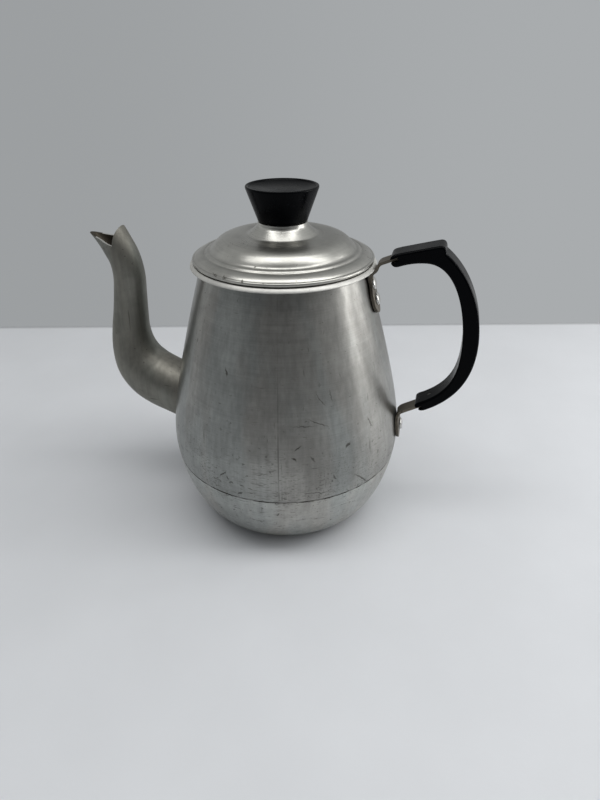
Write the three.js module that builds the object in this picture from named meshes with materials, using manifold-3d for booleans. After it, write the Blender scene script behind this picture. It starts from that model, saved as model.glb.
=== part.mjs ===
// A coffee pot of spun aluminium: a round belly, a narrow neck, an S-shaped spout, a lift-off lid
// with a black knob, and a black bent handle pinned to two riveted brackets.
// Millimetres, +Z up. The origin is the middle of the flat base. +X points to the handle, -X to the spout.
import * as THREE from 'three';
import { mergeVertices, toCreasedNormals } from 'three/addons/utils/BufferGeometryUtils.js';
import Module from 'manifold-3d';

// Driving dimensions
const BASE_RADIUS = 37;
const BELLY_RADIUS = 62.5;
const BELLY_HEIGHT = 50;
const NECK_RADIUS = 42.6;
const NECK_HEIGHT = 137.1;
const SHEET = 1.2;
const SEAM_HEIGHT = 38.9;
const SEAM_LAP = 4;
const RIM_RADIUS = 46.1;
const RIM_TOP = 144.1;
const RIM_BEAD = 1.1;
const LID_RADIUS = 44.85;
const LID_SHEET = 1;
const LID_HEM = 0.95;
const LID_NECK_RADIUS = 12.1;
const LID_NECK_TOP = 162.2;
const RING_RADIUS = 40.4;
const RING_BOTTOM = 138.2;
const KNOB_TOP_RADIUS = 17.5;
const KNOB_BOTTOM_RADIUS = 12.1;
const KNOB_BOTTOM = 162.5;
const KNOB_TOP = 178.6;
const SCREW_RADIUS = 2;
const GRIP_WIDTH = 13;
const GRIP_BEVEL = 1.5;
const TANG_WIDTH = 8;
const STRAP_WIDTH = 12;
const STRAP_SHEET = 1.4;
const STRAP_STAND_OFF = 0.4;
const RIVET_HEAD_RADIUS = 3.2;
const RIVET_HEAD_HEIGHT = 1.3;
const RIVET_SHANK_RADIUS = 1.8;
const PIN_RADIUS = 1.2;
const SPOUT_SHEET = 1.1;
const STRAINER_HOLE_RADIUS = 1.9;
const STRAINER_PITCH = 5.6;
const GAP = 0.3;

// Sides and steps of the faceted surfaces
const ROUND = 40;
const FINE_ROUND = 36;
const SMALL_ROUND = 16;
const SPOUT_ROUND = 20;
const SPOUT_STEPS = 20;
const CREASE = Math.PI / 7;

const wasm = await Module();
wasm.setup();

// Solids

// Turns a closed geometry into a solid, whichever way its faces were wound
function solid(geometry) {
  const bare = geometry.clone();
  bare.deleteAttribute('normal');
  bare.deleteAttribute('uv');
  const merged = mergeVertices(bare, 1e-4);
  const positions = merged.attributes.position;
  const corners = merged.index.array;
  const kept = [];
  let volume = 0;
  const a = new THREE.Vector3();
  const b = new THREE.Vector3();
  const c = new THREE.Vector3();
  for (let i = 0; i < corners.length; i += 3) {
    const [p, q, r] = [corners[i], corners[i + 1], corners[i + 2]];
    if (p === q || q === r || r === p) continue;
    kept.push(p, q, r);
    a.fromBufferAttribute(positions, p);
    b.fromBufferAttribute(positions, q);
    c.fromBufferAttribute(positions, r);
    volume += a.dot(b.cross(c));
  }
  if (volume < 0) kept.reverse();
  return new wasm.Manifold(new wasm.Mesh({
    numProp: 3,
    vertProperties: new Float32Array(positions.array),
    triVerts: new Uint32Array(kept),
  }));
}

function geometryOf(body) {
  const mesh = body.getMesh();
  const geometry = new THREE.BufferGeometry();
  geometry.setAttribute('position', new THREE.BufferAttribute(new Float32Array(mesh.vertProperties), 3));
  geometry.setIndex(new THREE.BufferAttribute(new Uint32Array(mesh.triVerts), 1));
  return toCreasedNormals(geometry, CREASE);
}

// A solid of revolution about Z from a closed profile of (radius, height) points
function turned(profile, sides = ROUND) {
  const geometry = new THREE.LatheGeometry(profile, sides);
  geometry.rotateX(Math.PI / 2);
  return solid(geometry);
}

// An outline in the (x, z) plane given thickness along Y, centred on y = 0
function slab(shape, width) {
  const geometry = new THREE.ExtrudeGeometry(shape, { depth: width, bevelEnabled: false, curveSegments: 8 });
  geometry.translate(0, 0, -width / 2);
  geometry.rotateX(Math.PI / 2);
  return solid(geometry);
}

function cylinder(radius, length, sides = SMALL_ROUND) {
  return solid(new THREE.CylinderGeometry(radius, radius, length, sides).rotateX(Math.PI / 2));
}

// Moves a solid from its own frame (Z along "along") to a place in the (x, z) plane
function placed(body, x, z, along) {
  const turn = Math.atan2(along.x, along.y);
  const matrix = new THREE.Matrix4().makeRotationY(turn);
  matrix.setPosition(x, 0, z);
  return body.transform(matrix.elements);
}

function point(x, y) {
  return new THREE.Vector2(x, y);
}

// The wall of the pot

const belly = new THREE.CubicBezierCurve(
  point(BASE_RADIUS, 0),
  point(54.1, 0),
  point(BELLY_RADIUS, 32.6),
  point(BELLY_RADIUS, BELLY_HEIGHT),
);
const neck = new THREE.CubicBezierCurve(
  point(BELLY_RADIUS, BELLY_HEIGHT),
  point(BELLY_RADIUS, 69),
  point(49.3, 113.8),
  point(NECK_RADIUS, NECK_HEIGHT),
);

// The curve's parameter at a height, found by halving
function parameterAt(curve, height) {
  let low = 0;
  let high = 1;
  for (let i = 0; i < 40; i++) {
    const middle = (low + high) / 2;
    if (curve.getPoint(middle).y < height) low = middle;
    else high = middle;
  }
  return (low + high) / 2;
}

// Points along a wall curve, moved inwards by inset
function wall(curve, from, to, steps, inset) {
  const points = [];
  for (let i = 0; i <= steps; i++) {
    const t = from + (to - from) * i / steps;
    const place = curve.getPoint(t);
    const tangent = curve.getTangent(t);
    points.push(point(place.x - tangent.y * inset, place.y + tangent.x * inset));
  }
  return points;
}

// Outward normal and place on the pot's outer wall at a height
function wallAt(height) {
  const curve = height < BELLY_HEIGHT ? belly : neck;
  const t = parameterAt(curve, height);
  const tangent = curve.getTangent(t);
  return { place: curve.getPoint(t), outward: point(tangent.y, -tangent.x) };
}

const belowSeam = parameterAt(belly, SEAM_HEIGHT - GAP / 2);
const aboveSeam = parameterAt(belly, SEAM_HEIGHT + GAP / 2);
const lapEnd = parameterAt(belly, SEAM_HEIGHT + SEAM_LAP);
const lapStart = parameterAt(belly, SEAM_HEIGHT - SEAM_LAP / 2);

// The base pan steps inwards at the seam, and its lap stands inside the upper shell
function basePan() {
  const lapInset = SHEET + GAP;
  const outside = [
    point(0, 0),
    ...wall(belly, 0, belowSeam, 9, 0),
    ...wall(belly, belowSeam, lapEnd, 2, lapInset),
  ];
  const inside = [
    ...wall(belly, 0, lapStart, 7, SHEET),
    ...wall(belly, belowSeam, lapEnd, 2, lapInset + SHEET),
  ];
  return turned([...outside, ...inside.reverse(), point(0, SHEET)]);
}

// The upper shell flares at the mouth into a rolled bead
function upperShell() {
  const bead = point(RIM_RADIUS - RIM_BEAD, RIM_TOP - RIM_BEAD);
  const corner = RIM_BEAD * Math.SQRT1_2;
  const rim = new THREE.Path();
  rim.moveTo(NECK_RADIUS, NECK_HEIGHT);
  rim.bezierCurveTo(41.9, 139.4, 42.9, 141.3, bead.x - corner, bead.y - corner);
  rim.absarc(bead.x, bead.y, RIM_BEAD, -0.75 * Math.PI, 0.6 * Math.PI, false);
  rim.bezierCurveTo(42.2, 143.5, 40.6, 139.7, 41.45, 136.77);
  const outside = [
    ...wall(belly, aboveSeam, 1, 2, 0),
    ...wall(neck, 0, 1, 8, 0).slice(1),
  ];
  const inside = [
    ...wall(belly, aboveSeam, 1, 2, SHEET),
    ...wall(neck, 0, 1, 6, SHEET).slice(1, -1),
  ];
  const profile = [...outside, ...rim.getPoints(4).slice(1), ...inside.reverse()];
  return turned([...profile, profile[0]]);
}

// The spout

// Axis points (x, z) and outer radii from inside the pot's wall to past the mouth
const SPOUT_STATIONS = [
  [-55.5, 58.8, 15.2],
  [-65.6, 63, 15.4],
  [-73.7, 66.3, 15.5],
  [-81.2, 70.8, 15.2],
  [-86.8, 77.8, 14.2],
  [-89.6, 87, 12.2],
  [-89.9, 97, 10.5],
  [-88.5, 108, 9.4],
  [-87.1, 119, 8.75],
  [-86.2, 129, 8.4],
  [-87.4, 138.1, 8.2],
  [-91, 145.7, 8.4],
  [-95.8, 153.4, 9],
  [-98.7, 158, 9.4],
];
const SPOUT_ROOT = point(-62, 61.2);
const BEAK_SQUEEZE = 0.42;
const BEAK_START = 0.8;
const BEAK_END = 0.93;
const spoutAxis = new THREE.CatmullRomCurve3(
  SPOUT_STATIONS.map(([x, z]) => new THREE.Vector3(x, 0, z)),
);
const spoutGirth = new THREE.SplineCurve(SPOUT_STATIONS.map((station, i) => point(i, station[2])));

// How far the front of the spout is squeezed into a beak at the mouth: t runs along the axis,
// and front from -1 at the back of a section to 1 at its front
function beak(t, front) {
  const { smoothstep } = THREE.MathUtils;
  return 1 - BEAK_SQUEEZE * smoothstep(front, -0.1, 0.45) * smoothstep(t, BEAK_START, BEAK_END);
}

// A round bar bent along the spout's axis, thinner by inset and longer by extra at both ends
function spoutBar(inset, extra) {
  const geometry = new THREE.CylinderGeometry(1, 1, 1, SPOUT_ROUND, SPOUT_STEPS);
  const places = geometry.attributes.position;
  const across = new THREE.Vector3();
  const sideways = new THREE.Vector3(0, 1, 0);
  for (let i = 0; i < places.count; i++) {
    const t = places.getY(i) + 0.5;
    const centre = spoutAxis.getPoint(t);
    const along = spoutAxis.getTangent(t);
    const radius = spoutGirth.getPoint(t).y - inset;
    across.crossVectors(sideways, along);
    const front = -places.getX(i);
    centre.addScaledVector(across, places.getX(i) * radius);
    centre.addScaledVector(sideways, places.getZ(i) * radius * beak(t, front));
    if (t < 1e-6) centre.addScaledVector(along, -extra);
    if (t > 1 - 1e-6) centre.addScaledVector(along, extra);
    places.setXYZ(i, centre.x, centre.y, centre.z);
  }
  return solid(geometry);
}

// What is cut away at the mouth: a level front lip, a notch at each side and a pointed hood behind
function mouthCut() {
  const outline = new THREE.Shape();
  outline.moveTo(-112, 153);
  outline.quadraticCurveTo(-98, 148.4, -92.6, 147.6);
  outline.lineTo(-89.1, 146.2);
  outline.quadraticCurveTo(-88.7, 151, -85.8, 156.3);
  outline.lineTo(-82, 172);
  outline.lineTo(-112, 172);
  return slab(outline, 40);
}

// The pot's outer form as one solid, wider by grow
function potForm(grow) {
  const outline = [
    point(0, 0),
    ...wall(belly, 0, 1, 8, -grow),
    ...wall(neck, 0, 1, 12, -grow).slice(1),
    point(0, NECK_HEIGHT),
  ];
  return turned(outline);
}

function spoutTube() {
  return spoutBar(0, 0)
    .subtract(spoutBar(SPOUT_SHEET, 3))
    .subtract(mouthCut())
    .subtract(potForm(GAP));
}

// Holes through the wall inside the spout's root, in rows set half a pitch apart
function strainerHoles() {
  let holes = null;
  const reach = 11.2;
  const rowStep = STRAINER_PITCH * Math.sqrt(3) / 2;
  for (let row = -2; row <= 2; row++) {
    const shift = row % 2 === 0 ? 0 : STRAINER_PITCH / 2;
    for (let column = -3; column <= 3; column++) {
      const y = column * STRAINER_PITCH + shift;
      const z = row * rowStep;
      if (Math.hypot(y, z) > reach) continue;
      const bar = solid(new THREE.CylinderGeometry(STRAINER_HOLE_RADIUS, STRAINER_HOLE_RADIUS, 20, 8)
        .rotateZ(Math.PI / 2)
        .translate(SPOUT_ROOT.x, y, SPOUT_ROOT.y + z));
      holes = holes ? holes.add(bar) : bar;
    }
  }
  return holes;
}

// Brackets: bent straps with a rounded foot on the wall and a narrow tang into the handle

// The handle's ends: middle of the end face, and the way its tang points
const UPPER_END = { place: point(52.6, 146.9), along: point(0.924, 0.383) };
const LOWER_END = { place: point(71, 69.1), along: point(0.875, 0.485) };
const UPPER_TANG_DEPTH = 8.5;
const LOWER_TANG_DEPTH = 12;
const UPPER_PIN_DEPTH = 5.5;
const LOWER_PIN_DEPTH = 9.5;
const UPPER_FOOT = 119.5;
const LOWER_FOOT = 48.4;
const UPPER_RIVETS = [126.2, 133.8];
const LOWER_RIVET = 56;

// A point on a handle end's centre line, depth into the handle and rise above the tang
function inHandle(end, depth, rise = 0) {
  return point(
    end.place.x + end.along.x * depth - end.along.y * rise,
    end.place.y + end.along.y * depth + end.along.x * rise,
  );
}

// The middle of a strap that stands off the wall
function strapAt(height) {
  const { place, outward } = wallAt(height);
  return place.addScaledVector(outward, STRAP_STAND_OFF + STRAP_SHEET / 2);
}

// The foot of a strap, along the wall from one height to another
function strapFoot(from, to) {
  const path = new THREE.Path();
  const steps = 5;
  for (let i = 0; i <= steps; i += 1) {
    const { x, y } = strapAt(from + (to - from) * i / steps);
    if (i === 0) path.moveTo(x, y);
    else path.lineTo(x, y);
  }
  return path;
}

// The upper strap follows the neck, then runs close round the rim's bead
function upperStrapPath() {
  const tangStart = inHandle(UPPER_END, -3.8);
  const tangEnd = inHandle(UPPER_END, UPPER_TANG_DEPTH);
  const path = strapFoot(UPPER_FOOT, 136.9);
  path.quadraticCurveTo(43.9, 139.2, 45.6, 140.7);
  path.quadraticCurveTo(46.9, 141.6, 47.2, 143);
  path.quadraticCurveTo(47.5, 144.6, tangStart.x, tangStart.y);
  path.lineTo(tangEnd.x, tangEnd.y);
  return path;
}

function lowerStrapPath() {
  const tangCorner = inHandle(LOWER_END, -10);
  const tangStart = inHandle(LOWER_END, -7);
  const tangEnd = inHandle(LOWER_END, LOWER_TANG_DEPTH);
  const path = strapFoot(LOWER_FOOT, 61.4);
  path.quadraticCurveTo(tangCorner.x, tangCorner.y, tangStart.x, tangStart.y);
  path.lineTo(tangEnd.x, tangEnd.y);
  return path;
}

// A strip of sheet along a path of (x, z) points
function strip(path) {
  const middle = path.getPoints(6);
  const near = [];
  const far = [];
  middle.forEach((place, i) => {
    const before = middle[Math.max(i - 1, 0)];
    const after = middle[Math.min(i + 1, middle.length - 1)];
    const along = point(after.x - before.x, after.y - before.y).normalize();
    const reach = STRAP_SHEET / 2;
    near.push(point(place.x - along.y * reach, place.y + along.x * reach));
    far.push(point(place.x + along.y * reach, place.y - along.x * reach));
  });
  return slab(new THREE.Shape([...near, ...far.reverse()]), STRAP_WIDTH);
}

// The bracket's outline seen from the handle's side, as a bar along X
function strapOutline(foot, shoulder, tangStart, top) {
  const half = STRAP_WIDTH / 2;
  const tang = TANG_WIDTH / 2;
  const outline = new THREE.Shape();
  outline.moveTo(-tang, top);
  outline.lineTo(-tang, tangStart);
  outline.lineTo(-half, shoulder);
  outline.absarc(0, foot + half, half, Math.PI, 2 * Math.PI, false);
  outline.lineTo(half, shoulder);
  outline.lineTo(tang, tangStart);
  outline.lineTo(tang, top);
  const geometry = new THREE.ExtrudeGeometry(outline, {
    depth: BELLY_RADIUS,
    bevelEnabled: false,
    curveSegments: 12,
  });
  geometry.rotateX(Math.PI / 2);
  geometry.rotateZ(Math.PI / 2);
  geometry.translate(NECK_RADIUS, 0, 0);
  return solid(geometry);
}

// A rivet along Z: a domed head above z = 0, and a flat tail beyond the wall
const RIVET_GRIP = STRAP_SHEET + STRAP_STAND_OFF + SHEET + 3 * GAP;
const RIVET_TAIL_RADIUS = 2.8;
const RIVET_TAIL = 1.1;

function rivet(height) {
  const profile = new THREE.Path();
  profile.moveTo(0, -RIVET_GRIP - RIVET_TAIL);
  profile.lineTo(RIVET_TAIL_RADIUS - 0.4, -RIVET_GRIP - RIVET_TAIL);
  profile.lineTo(RIVET_TAIL_RADIUS, -RIVET_GRIP - 0.5);
  profile.lineTo(RIVET_TAIL_RADIUS, -RIVET_GRIP);
  profile.lineTo(RIVET_SHANK_RADIUS, -RIVET_GRIP);
  profile.lineTo(RIVET_SHANK_RADIUS, 0);
  profile.lineTo(RIVET_HEAD_RADIUS, 0);
  profile.lineTo(RIVET_HEAD_RADIUS, 0.3);
  profile.bezierCurveTo(
    RIVET_HEAD_RADIUS, RIVET_HEAD_HEIGHT * 0.7,
    RIVET_HEAD_RADIUS * 0.55, RIVET_HEAD_HEIGHT,
    0, RIVET_HEAD_HEIGHT,
  );
  const { place, outward } = wallAt(height);
  place.addScaledVector(outward, STRAP_STAND_OFF + STRAP_SHEET + GAP);
  return placed(turned(profile.getPoints(4), SMALL_ROUND), place.x, place.y, outward);
}

// The clearance hole that a rivet's shank passes through
function rivetHole(height) {
  const { place, outward } = wallAt(height);
  return placed(cylinder(RIVET_SHANK_RADIUS + GAP, 12), place.x, place.y, outward);
}

// The pin across a tang, driven in from the hollow side of the handle
function pinAt(end, depth, from, to, radius) {
  const middle = inHandle(end, depth, (from + to) / 2);
  const across = point(-end.along.y, end.along.x);
  return placed(cylinder(radius, Math.abs(to - from)), middle.x, middle.y, across);
}

const UPPER_PIN_SPAN = [-3.2, 1.3];
const LOWER_PIN_SPAN = [3.1, -1.6];

function upperBracket() {
  return strip(upperStrapPath())
    .intersect(strapOutline(UPPER_FOOT, 129, 136, 156))
    .subtract(rivetHole(UPPER_RIVETS[0]))
    .subtract(rivetHole(UPPER_RIVETS[1]))
    .subtract(pinAt(UPPER_END, UPPER_PIN_DEPTH, -4, 4, PIN_RADIUS + GAP));
}

function lowerBracket() {
  return strip(lowerStrapPath())
    .intersect(strapOutline(LOWER_FOOT, 61, 64.5, 80))
    .subtract(rivetHole(LOWER_RIVET))
    .subtract(pinAt(LOWER_END, LOWER_PIN_DEPTH, -4, 4, PIN_RADIUS + GAP));
}

// The handle: a bent bar with chamfered edges, a flat thumb rest that ends in a raised step,
// and a slot in each end for its tang

function gripOutline() {
  const outline = new THREE.Shape();
  outline.moveTo(52.2, 149.8);
  outline.lineTo(57, 151.3);
  outline.lineTo(75.6, 156.1);
  outline.lineTo(77.1, 156);
  outline.lineTo(78, 154.8);
  outline.lineTo(78.4, 152.6);
  outline.bezierCurveTo(91.7, 142.6, 98.4, 124.3, 98.4, 107.5);
  outline.bezierCurveTo(98.4, 91.5, 92.3, 78.5, 77.2, 69.9);
  outline.lineTo(74, 68.3);
  outline.lineTo(70, 71.6);
  outline.lineTo(72.7, 73.5);
  outline.bezierCurveTo(88.8, 81.7, 90.7, 93, 90.7, 106);
  outline.bezierCurveTo(90.7, 121.8, 85.1, 147.4, 70, 147.4);
  outline.quadraticCurveTo(63.5, 147.4, 57.4, 145);
  outline.lineTo(54.3, 144);
  return outline;
}

// A block along a handle end's own axes, from one depth to another
function endBlock(end, from, to, thickness, width) {
  const middle = inHandle(end, (from + to) / 2);
  const block = solid(new THREE.BoxGeometry(thickness, width, to - from));
  return placed(block, middle.x, middle.y, end.along);
}

const END_ROUND = 4.2;
const FORK_DEPTH = 4.5;

// What rounds off one upright corner of a handle end, seen from above
function cornerCut(end, side) {
  const reach = GRIP_WIDTH / 2;
  const outline = new THREE.Shape();
  outline.moveTo(END_ROUND, reach);
  outline.absarc(END_ROUND, reach - END_ROUND, END_ROUND, Math.PI / 2, Math.PI, false);
  outline.lineTo(-2, reach - END_ROUND);
  outline.lineTo(-2, reach + 2);
  outline.lineTo(END_ROUND, reach + 2);
  const geometry = new THREE.ExtrudeGeometry(outline, { depth: 14, bevelEnabled: false, curveSegments: 5 });
  geometry.translate(0, 0, -7);
  geometry.rotateY(-Math.PI / 2);
  if (side < 0) geometry.rotateZ(Math.PI);
  return placed(solid(geometry), end.place.x, end.place.y, end.along);
}

function grip() {
  const geometry = new THREE.ExtrudeGeometry(gripOutline(), {
    depth: GRIP_WIDTH - 2 * GRIP_BEVEL,
    bevelThickness: GRIP_BEVEL,
    bevelSize: GRIP_BEVEL,
    bevelOffset: -GRIP_BEVEL,
    bevelSegments: 2,
    curveSegments: 10,
  });
  geometry.translate(0, 0, GRIP_BEVEL - GRIP_WIDTH / 2);
  geometry.rotateX(Math.PI / 2);
  let body = solid(geometry);
  const slot = STRAP_SHEET + 2 * GAP;
  const ends = [
    [UPPER_END, UPPER_TANG_DEPTH],
    [LOWER_END, LOWER_TANG_DEPTH],
  ];
  for (const [end, depth] of ends) {
    body = body
      .subtract(endBlock(end, -3, FORK_DEPTH, slot, GRIP_WIDTH + 2))
      .subtract(endBlock(end, 0, depth + 0.5, slot, TANG_WIDTH + 2 * GAP))
      .subtract(cornerCut(end, 1))
      .subtract(cornerCut(end, -1));
  }
  return body
    .subtract(pinAt(UPPER_END, UPPER_PIN_DEPTH, -6, UPPER_PIN_SPAN[1] + GAP, PIN_RADIUS + GAP))
    .subtract(pinAt(LOWER_END, LOWER_PIN_DEPTH, 6, LOWER_PIN_SPAN[1] - GAP, PIN_RADIUS + GAP));
}

// The lid: a pressed sheet with a rolled edge, two ring steps, a shoulder, a dome and a flared collar

function lidCover() {
  const hem = point(LID_RADIUS - LID_HEM, RIM_TOP + LID_HEM + 0.05);
  const top = new THREE.Path();
  top.moveTo(SCREW_RADIUS + GAP, LID_NECK_TOP);
  top.lineTo(LID_NECK_RADIUS - 0.5, LID_NECK_TOP);
  top.lineTo(LID_NECK_RADIUS, LID_NECK_TOP - 0.4);
  top.bezierCurveTo(12.3, 159.6, 14.2, 157.6, 16.9, 156.55);
  top.quadraticCurveTo(29.3, 155.9, 32.4, 153);
  top.quadraticCurveTo(33.9, 151.8, 34.9, 150.2);
  top.quadraticCurveTo(35.6, 149.3, 36.4, 149.3);
  top.quadraticCurveTo(37.5, 149.2, 38, 148.4);
  top.lineTo(39.2, 148.2);
  top.quadraticCurveTo(42.3, 147.6, 43.6, hem.y + LID_HEM);
  top.absarc(hem.x, hem.y, LID_HEM, 0.4 * Math.PI, -0.95 * Math.PI, true);
  const under = new THREE.Path();
  under.moveTo(42.5, 146.1);
  under.lineTo(38.4, 147.2);
  under.lineTo(35.1, 148.2);
  under.quadraticCurveTo(33.4, 150.6, 32, 151.9);
  under.quadraticCurveTo(29.4, 154.6, 16.6, 155.3);
  under.bezierCurveTo(13.4, 156.4, 11.4, 157.9, 11, 160.2);
  under.lineTo(10.2, LID_NECK_TOP - LID_SHEET);
  under.lineTo(SCREW_RADIUS + GAP, LID_NECK_TOP - LID_SHEET);
  const profile = [...top.getPoints(3), ...under.getPoints(2)];
  return turned([...profile, profile[0]]);
}

// A ring under the lid that centres it in the mouth
function locatingRing() {
  const top = 146.9;
  const sheet = 0.8;
  const profile = [
    point(36.8, top),
    point(36.8, top - sheet),
    point(RING_RADIUS - sheet, top - sheet),
    point(RING_RADIUS - sheet, RING_BOTTOM),
    point(RING_RADIUS, RING_BOTTOM),
    point(RING_RADIUS, top - 1),
    point(RING_RADIUS - 0.9, top - 0.2),
  ];
  return turned([...profile, profile[0]]);
}

// The knob: an upturned cone with a dished top and a fine raised edge

const INSERT_RADIUS = 3.6;
const INSERT_TOP = 171.5;

function knob() {
  const profile = new THREE.Path();
  profile.moveTo(INSERT_RADIUS + GAP, KNOB_BOTTOM);
  profile.lineTo(KNOB_BOTTOM_RADIUS - 0.5, KNOB_BOTTOM);
  profile.lineTo(KNOB_BOTTOM_RADIUS, KNOB_BOTTOM + 0.5);
  profile.lineTo(KNOB_TOP_RADIUS - 0.1, KNOB_TOP - 1.1);
  profile.quadraticCurveTo(KNOB_TOP_RADIUS + 0.1, KNOB_TOP, KNOB_TOP_RADIUS - 0.7, KNOB_TOP);
  profile.quadraticCurveTo(KNOB_TOP_RADIUS - 1.4, KNOB_TOP, KNOB_TOP_RADIUS - 1.9, KNOB_TOP - 0.7);
  profile.quadraticCurveTo(10, KNOB_TOP - 2.1, 0, KNOB_TOP - 2.2);
  profile.lineTo(0, INSERT_TOP + GAP);
  profile.lineTo(INSERT_RADIUS + GAP, INSERT_TOP + GAP);
  const points = profile.getPoints(3);
  return turned([...points, points[0]], FINE_ROUND);
}

// A washer, bush or sleeve between two heights
function sleeve(inner, outer, bottom, top) {
  const profile = [point(inner, bottom), point(outer, bottom), point(outer, top), point(inner, top)];
  return turned([...profile, profile[0]], SMALL_ROUND);
}

const WASHER_TOP = LID_NECK_TOP - LID_SHEET - GAP;
const WASHER_SHEET = 0.8;
const SCREW_HEAD_TOP = WASHER_TOP - WASHER_SHEET - GAP;

// A slotted screw that holds the knob from under the lid
function knobScrew() {
  const profile = [
    point(0, SCREW_HEAD_TOP - 2.2),
    point(2.9, SCREW_HEAD_TOP - 2.2),
    point(3.6, SCREW_HEAD_TOP - 1.4),
    point(3.6, SCREW_HEAD_TOP),
    point(SCREW_RADIUS, SCREW_HEAD_TOP),
    point(SCREW_RADIUS, INSERT_TOP - 1.5),
    point(0, INSERT_TOP - 1),
  ];
  const slot = solid(new THREE.BoxGeometry(9, 1, 2).translate(0, 0, SCREW_HEAD_TOP - 2.4));
  return turned(profile, SMALL_ROUND).subtract(slot);
}

// Materials

function finish(color, roughness, metalness) {
  return new THREE.MeshStandardMaterial({ color, roughness, metalness });
}

const brushedAluminium = finish(0xb4b3ae, 0.42, 1);
const lidAluminium = finish(0xbdbcb6, 0.36, 1);
const spoutAluminium = finish(0x9c9b94, 0.5, 1);
const tarnishedStrap = finish(0x9a9384, 0.5, 1);
const rivetAluminium = finish(0xc2c1bc, 0.4, 1);
const bakelite = finish(0x17181b, 0.34, 0);
const steel = finish(0x8d8c88, 0.4, 1);
const brass = finish(0xb79a56, 0.4, 1);

// The pot

const pot = new THREE.Group();
const lid = new THREE.Group();
pot.add(lid);

function add(group, name, body, material) {
  const mesh = new THREE.Mesh(geometryOf(body), material);
  mesh.name = name;
  group.add(mesh);
}

add(pot, 'base_pan', basePan(), brushedAluminium);
let shell = upperShell().subtract(strainerHoles());
for (const height of [...UPPER_RIVETS, LOWER_RIVET]) shell = shell.subtract(rivetHole(height));
add(pot, 'body_shell', shell, brushedAluminium);
add(pot, 'spout', spoutTube(), spoutAluminium);
add(pot, 'upper_bracket', upperBracket(), tarnishedStrap);
add(pot, 'lower_bracket', lowerBracket(), tarnishedStrap);
add(pot, 'upper_rivet_low', rivet(UPPER_RIVETS[0]), rivetAluminium);
add(pot, 'upper_rivet_high', rivet(UPPER_RIVETS[1]), rivetAluminium);
add(pot, 'lower_rivet', rivet(LOWER_RIVET), rivetAluminium);
add(pot, 'handle_grip', grip(), bakelite);
add(pot, 'upper_handle_pin', pinAt(UPPER_END, UPPER_PIN_DEPTH, ...UPPER_PIN_SPAN, PIN_RADIUS), steel);
add(pot, 'lower_handle_pin', pinAt(LOWER_END, LOWER_PIN_DEPTH, ...LOWER_PIN_SPAN, PIN_RADIUS), steel);
add(lid, 'lid_cover', lidCover(), lidAluminium);
add(lid, 'lid_locating_ring', locatingRing(), lidAluminium);
add(lid, 'knob', knob(), bakelite);
add(lid, 'knob_insert', sleeve(SCREW_RADIUS + GAP, INSERT_RADIUS, KNOB_BOTTOM + GAP, INSERT_TOP), brass);
add(lid, 'knob_washer', sleeve(SCREW_RADIUS + GAP, 5.5, WASHER_TOP - WASHER_SHEET, WASHER_TOP), steel);
add(lid, 'knob_screw', knobScrew(), steel);

export default pot;
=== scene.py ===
"""An aluminium coffee pot with a lift-off lid, a bent spout and a black handle, in a plain studio."""
import math
from functools import partial

import bmesh
import bpy
from bpy.props import FloatProperty, FloatVectorProperty, PointerProperty
from mathutils import Euler, Matrix, Vector


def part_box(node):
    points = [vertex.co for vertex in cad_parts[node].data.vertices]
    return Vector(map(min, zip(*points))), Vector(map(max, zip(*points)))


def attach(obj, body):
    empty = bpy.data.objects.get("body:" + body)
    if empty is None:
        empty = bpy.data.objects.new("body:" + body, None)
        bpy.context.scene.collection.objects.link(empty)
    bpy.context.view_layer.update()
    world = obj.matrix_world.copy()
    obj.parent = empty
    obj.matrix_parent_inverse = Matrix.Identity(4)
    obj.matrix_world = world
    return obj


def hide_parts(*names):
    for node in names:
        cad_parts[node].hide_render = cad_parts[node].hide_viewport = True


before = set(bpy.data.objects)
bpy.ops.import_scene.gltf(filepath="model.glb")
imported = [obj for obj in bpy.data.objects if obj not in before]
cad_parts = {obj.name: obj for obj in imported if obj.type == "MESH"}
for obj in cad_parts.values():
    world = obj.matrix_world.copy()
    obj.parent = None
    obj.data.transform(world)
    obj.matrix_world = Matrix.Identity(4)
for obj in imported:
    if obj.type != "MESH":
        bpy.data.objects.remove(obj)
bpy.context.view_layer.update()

bl_info = {
    "name": "Aluminium coffee pot",
    "version": (1, 0, 0),
    "blender": (4, 5, 0),
    "location": "View3D > Sidebar > Coffee pot",
    "description": "Builds a spun aluminium coffee pot and the plain studio that it stands in",
    "category": "Add Mesh",
}

# Units

MM = 0.001


def linear(code):
    """The linear colour of an sRGB hex value."""
    channels = [int(code[i:i + 2], 16) / 255 for i in (1, 3, 5)]
    return tuple(c / 12.92 if c <= 0.04045 else ((c + 0.055) / 1.055) ** 2.4 for c in channels) + (1.0,)


# Sizes and colours that a user would change


def length(name, description, default):
    """A length property whose default is given in millimetres."""
    return FloatProperty(name=name, description=description, default=default * MM, min=0.0, unit="LENGTH")


def colour(name, description, default):
    """A colour property whose default is an sRGB hex value."""
    return FloatVectorProperty(
        name=name, description=description, default=linear(default)[:3], min=0.0, max=1.0, subtype="COLOR"
    )


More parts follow.
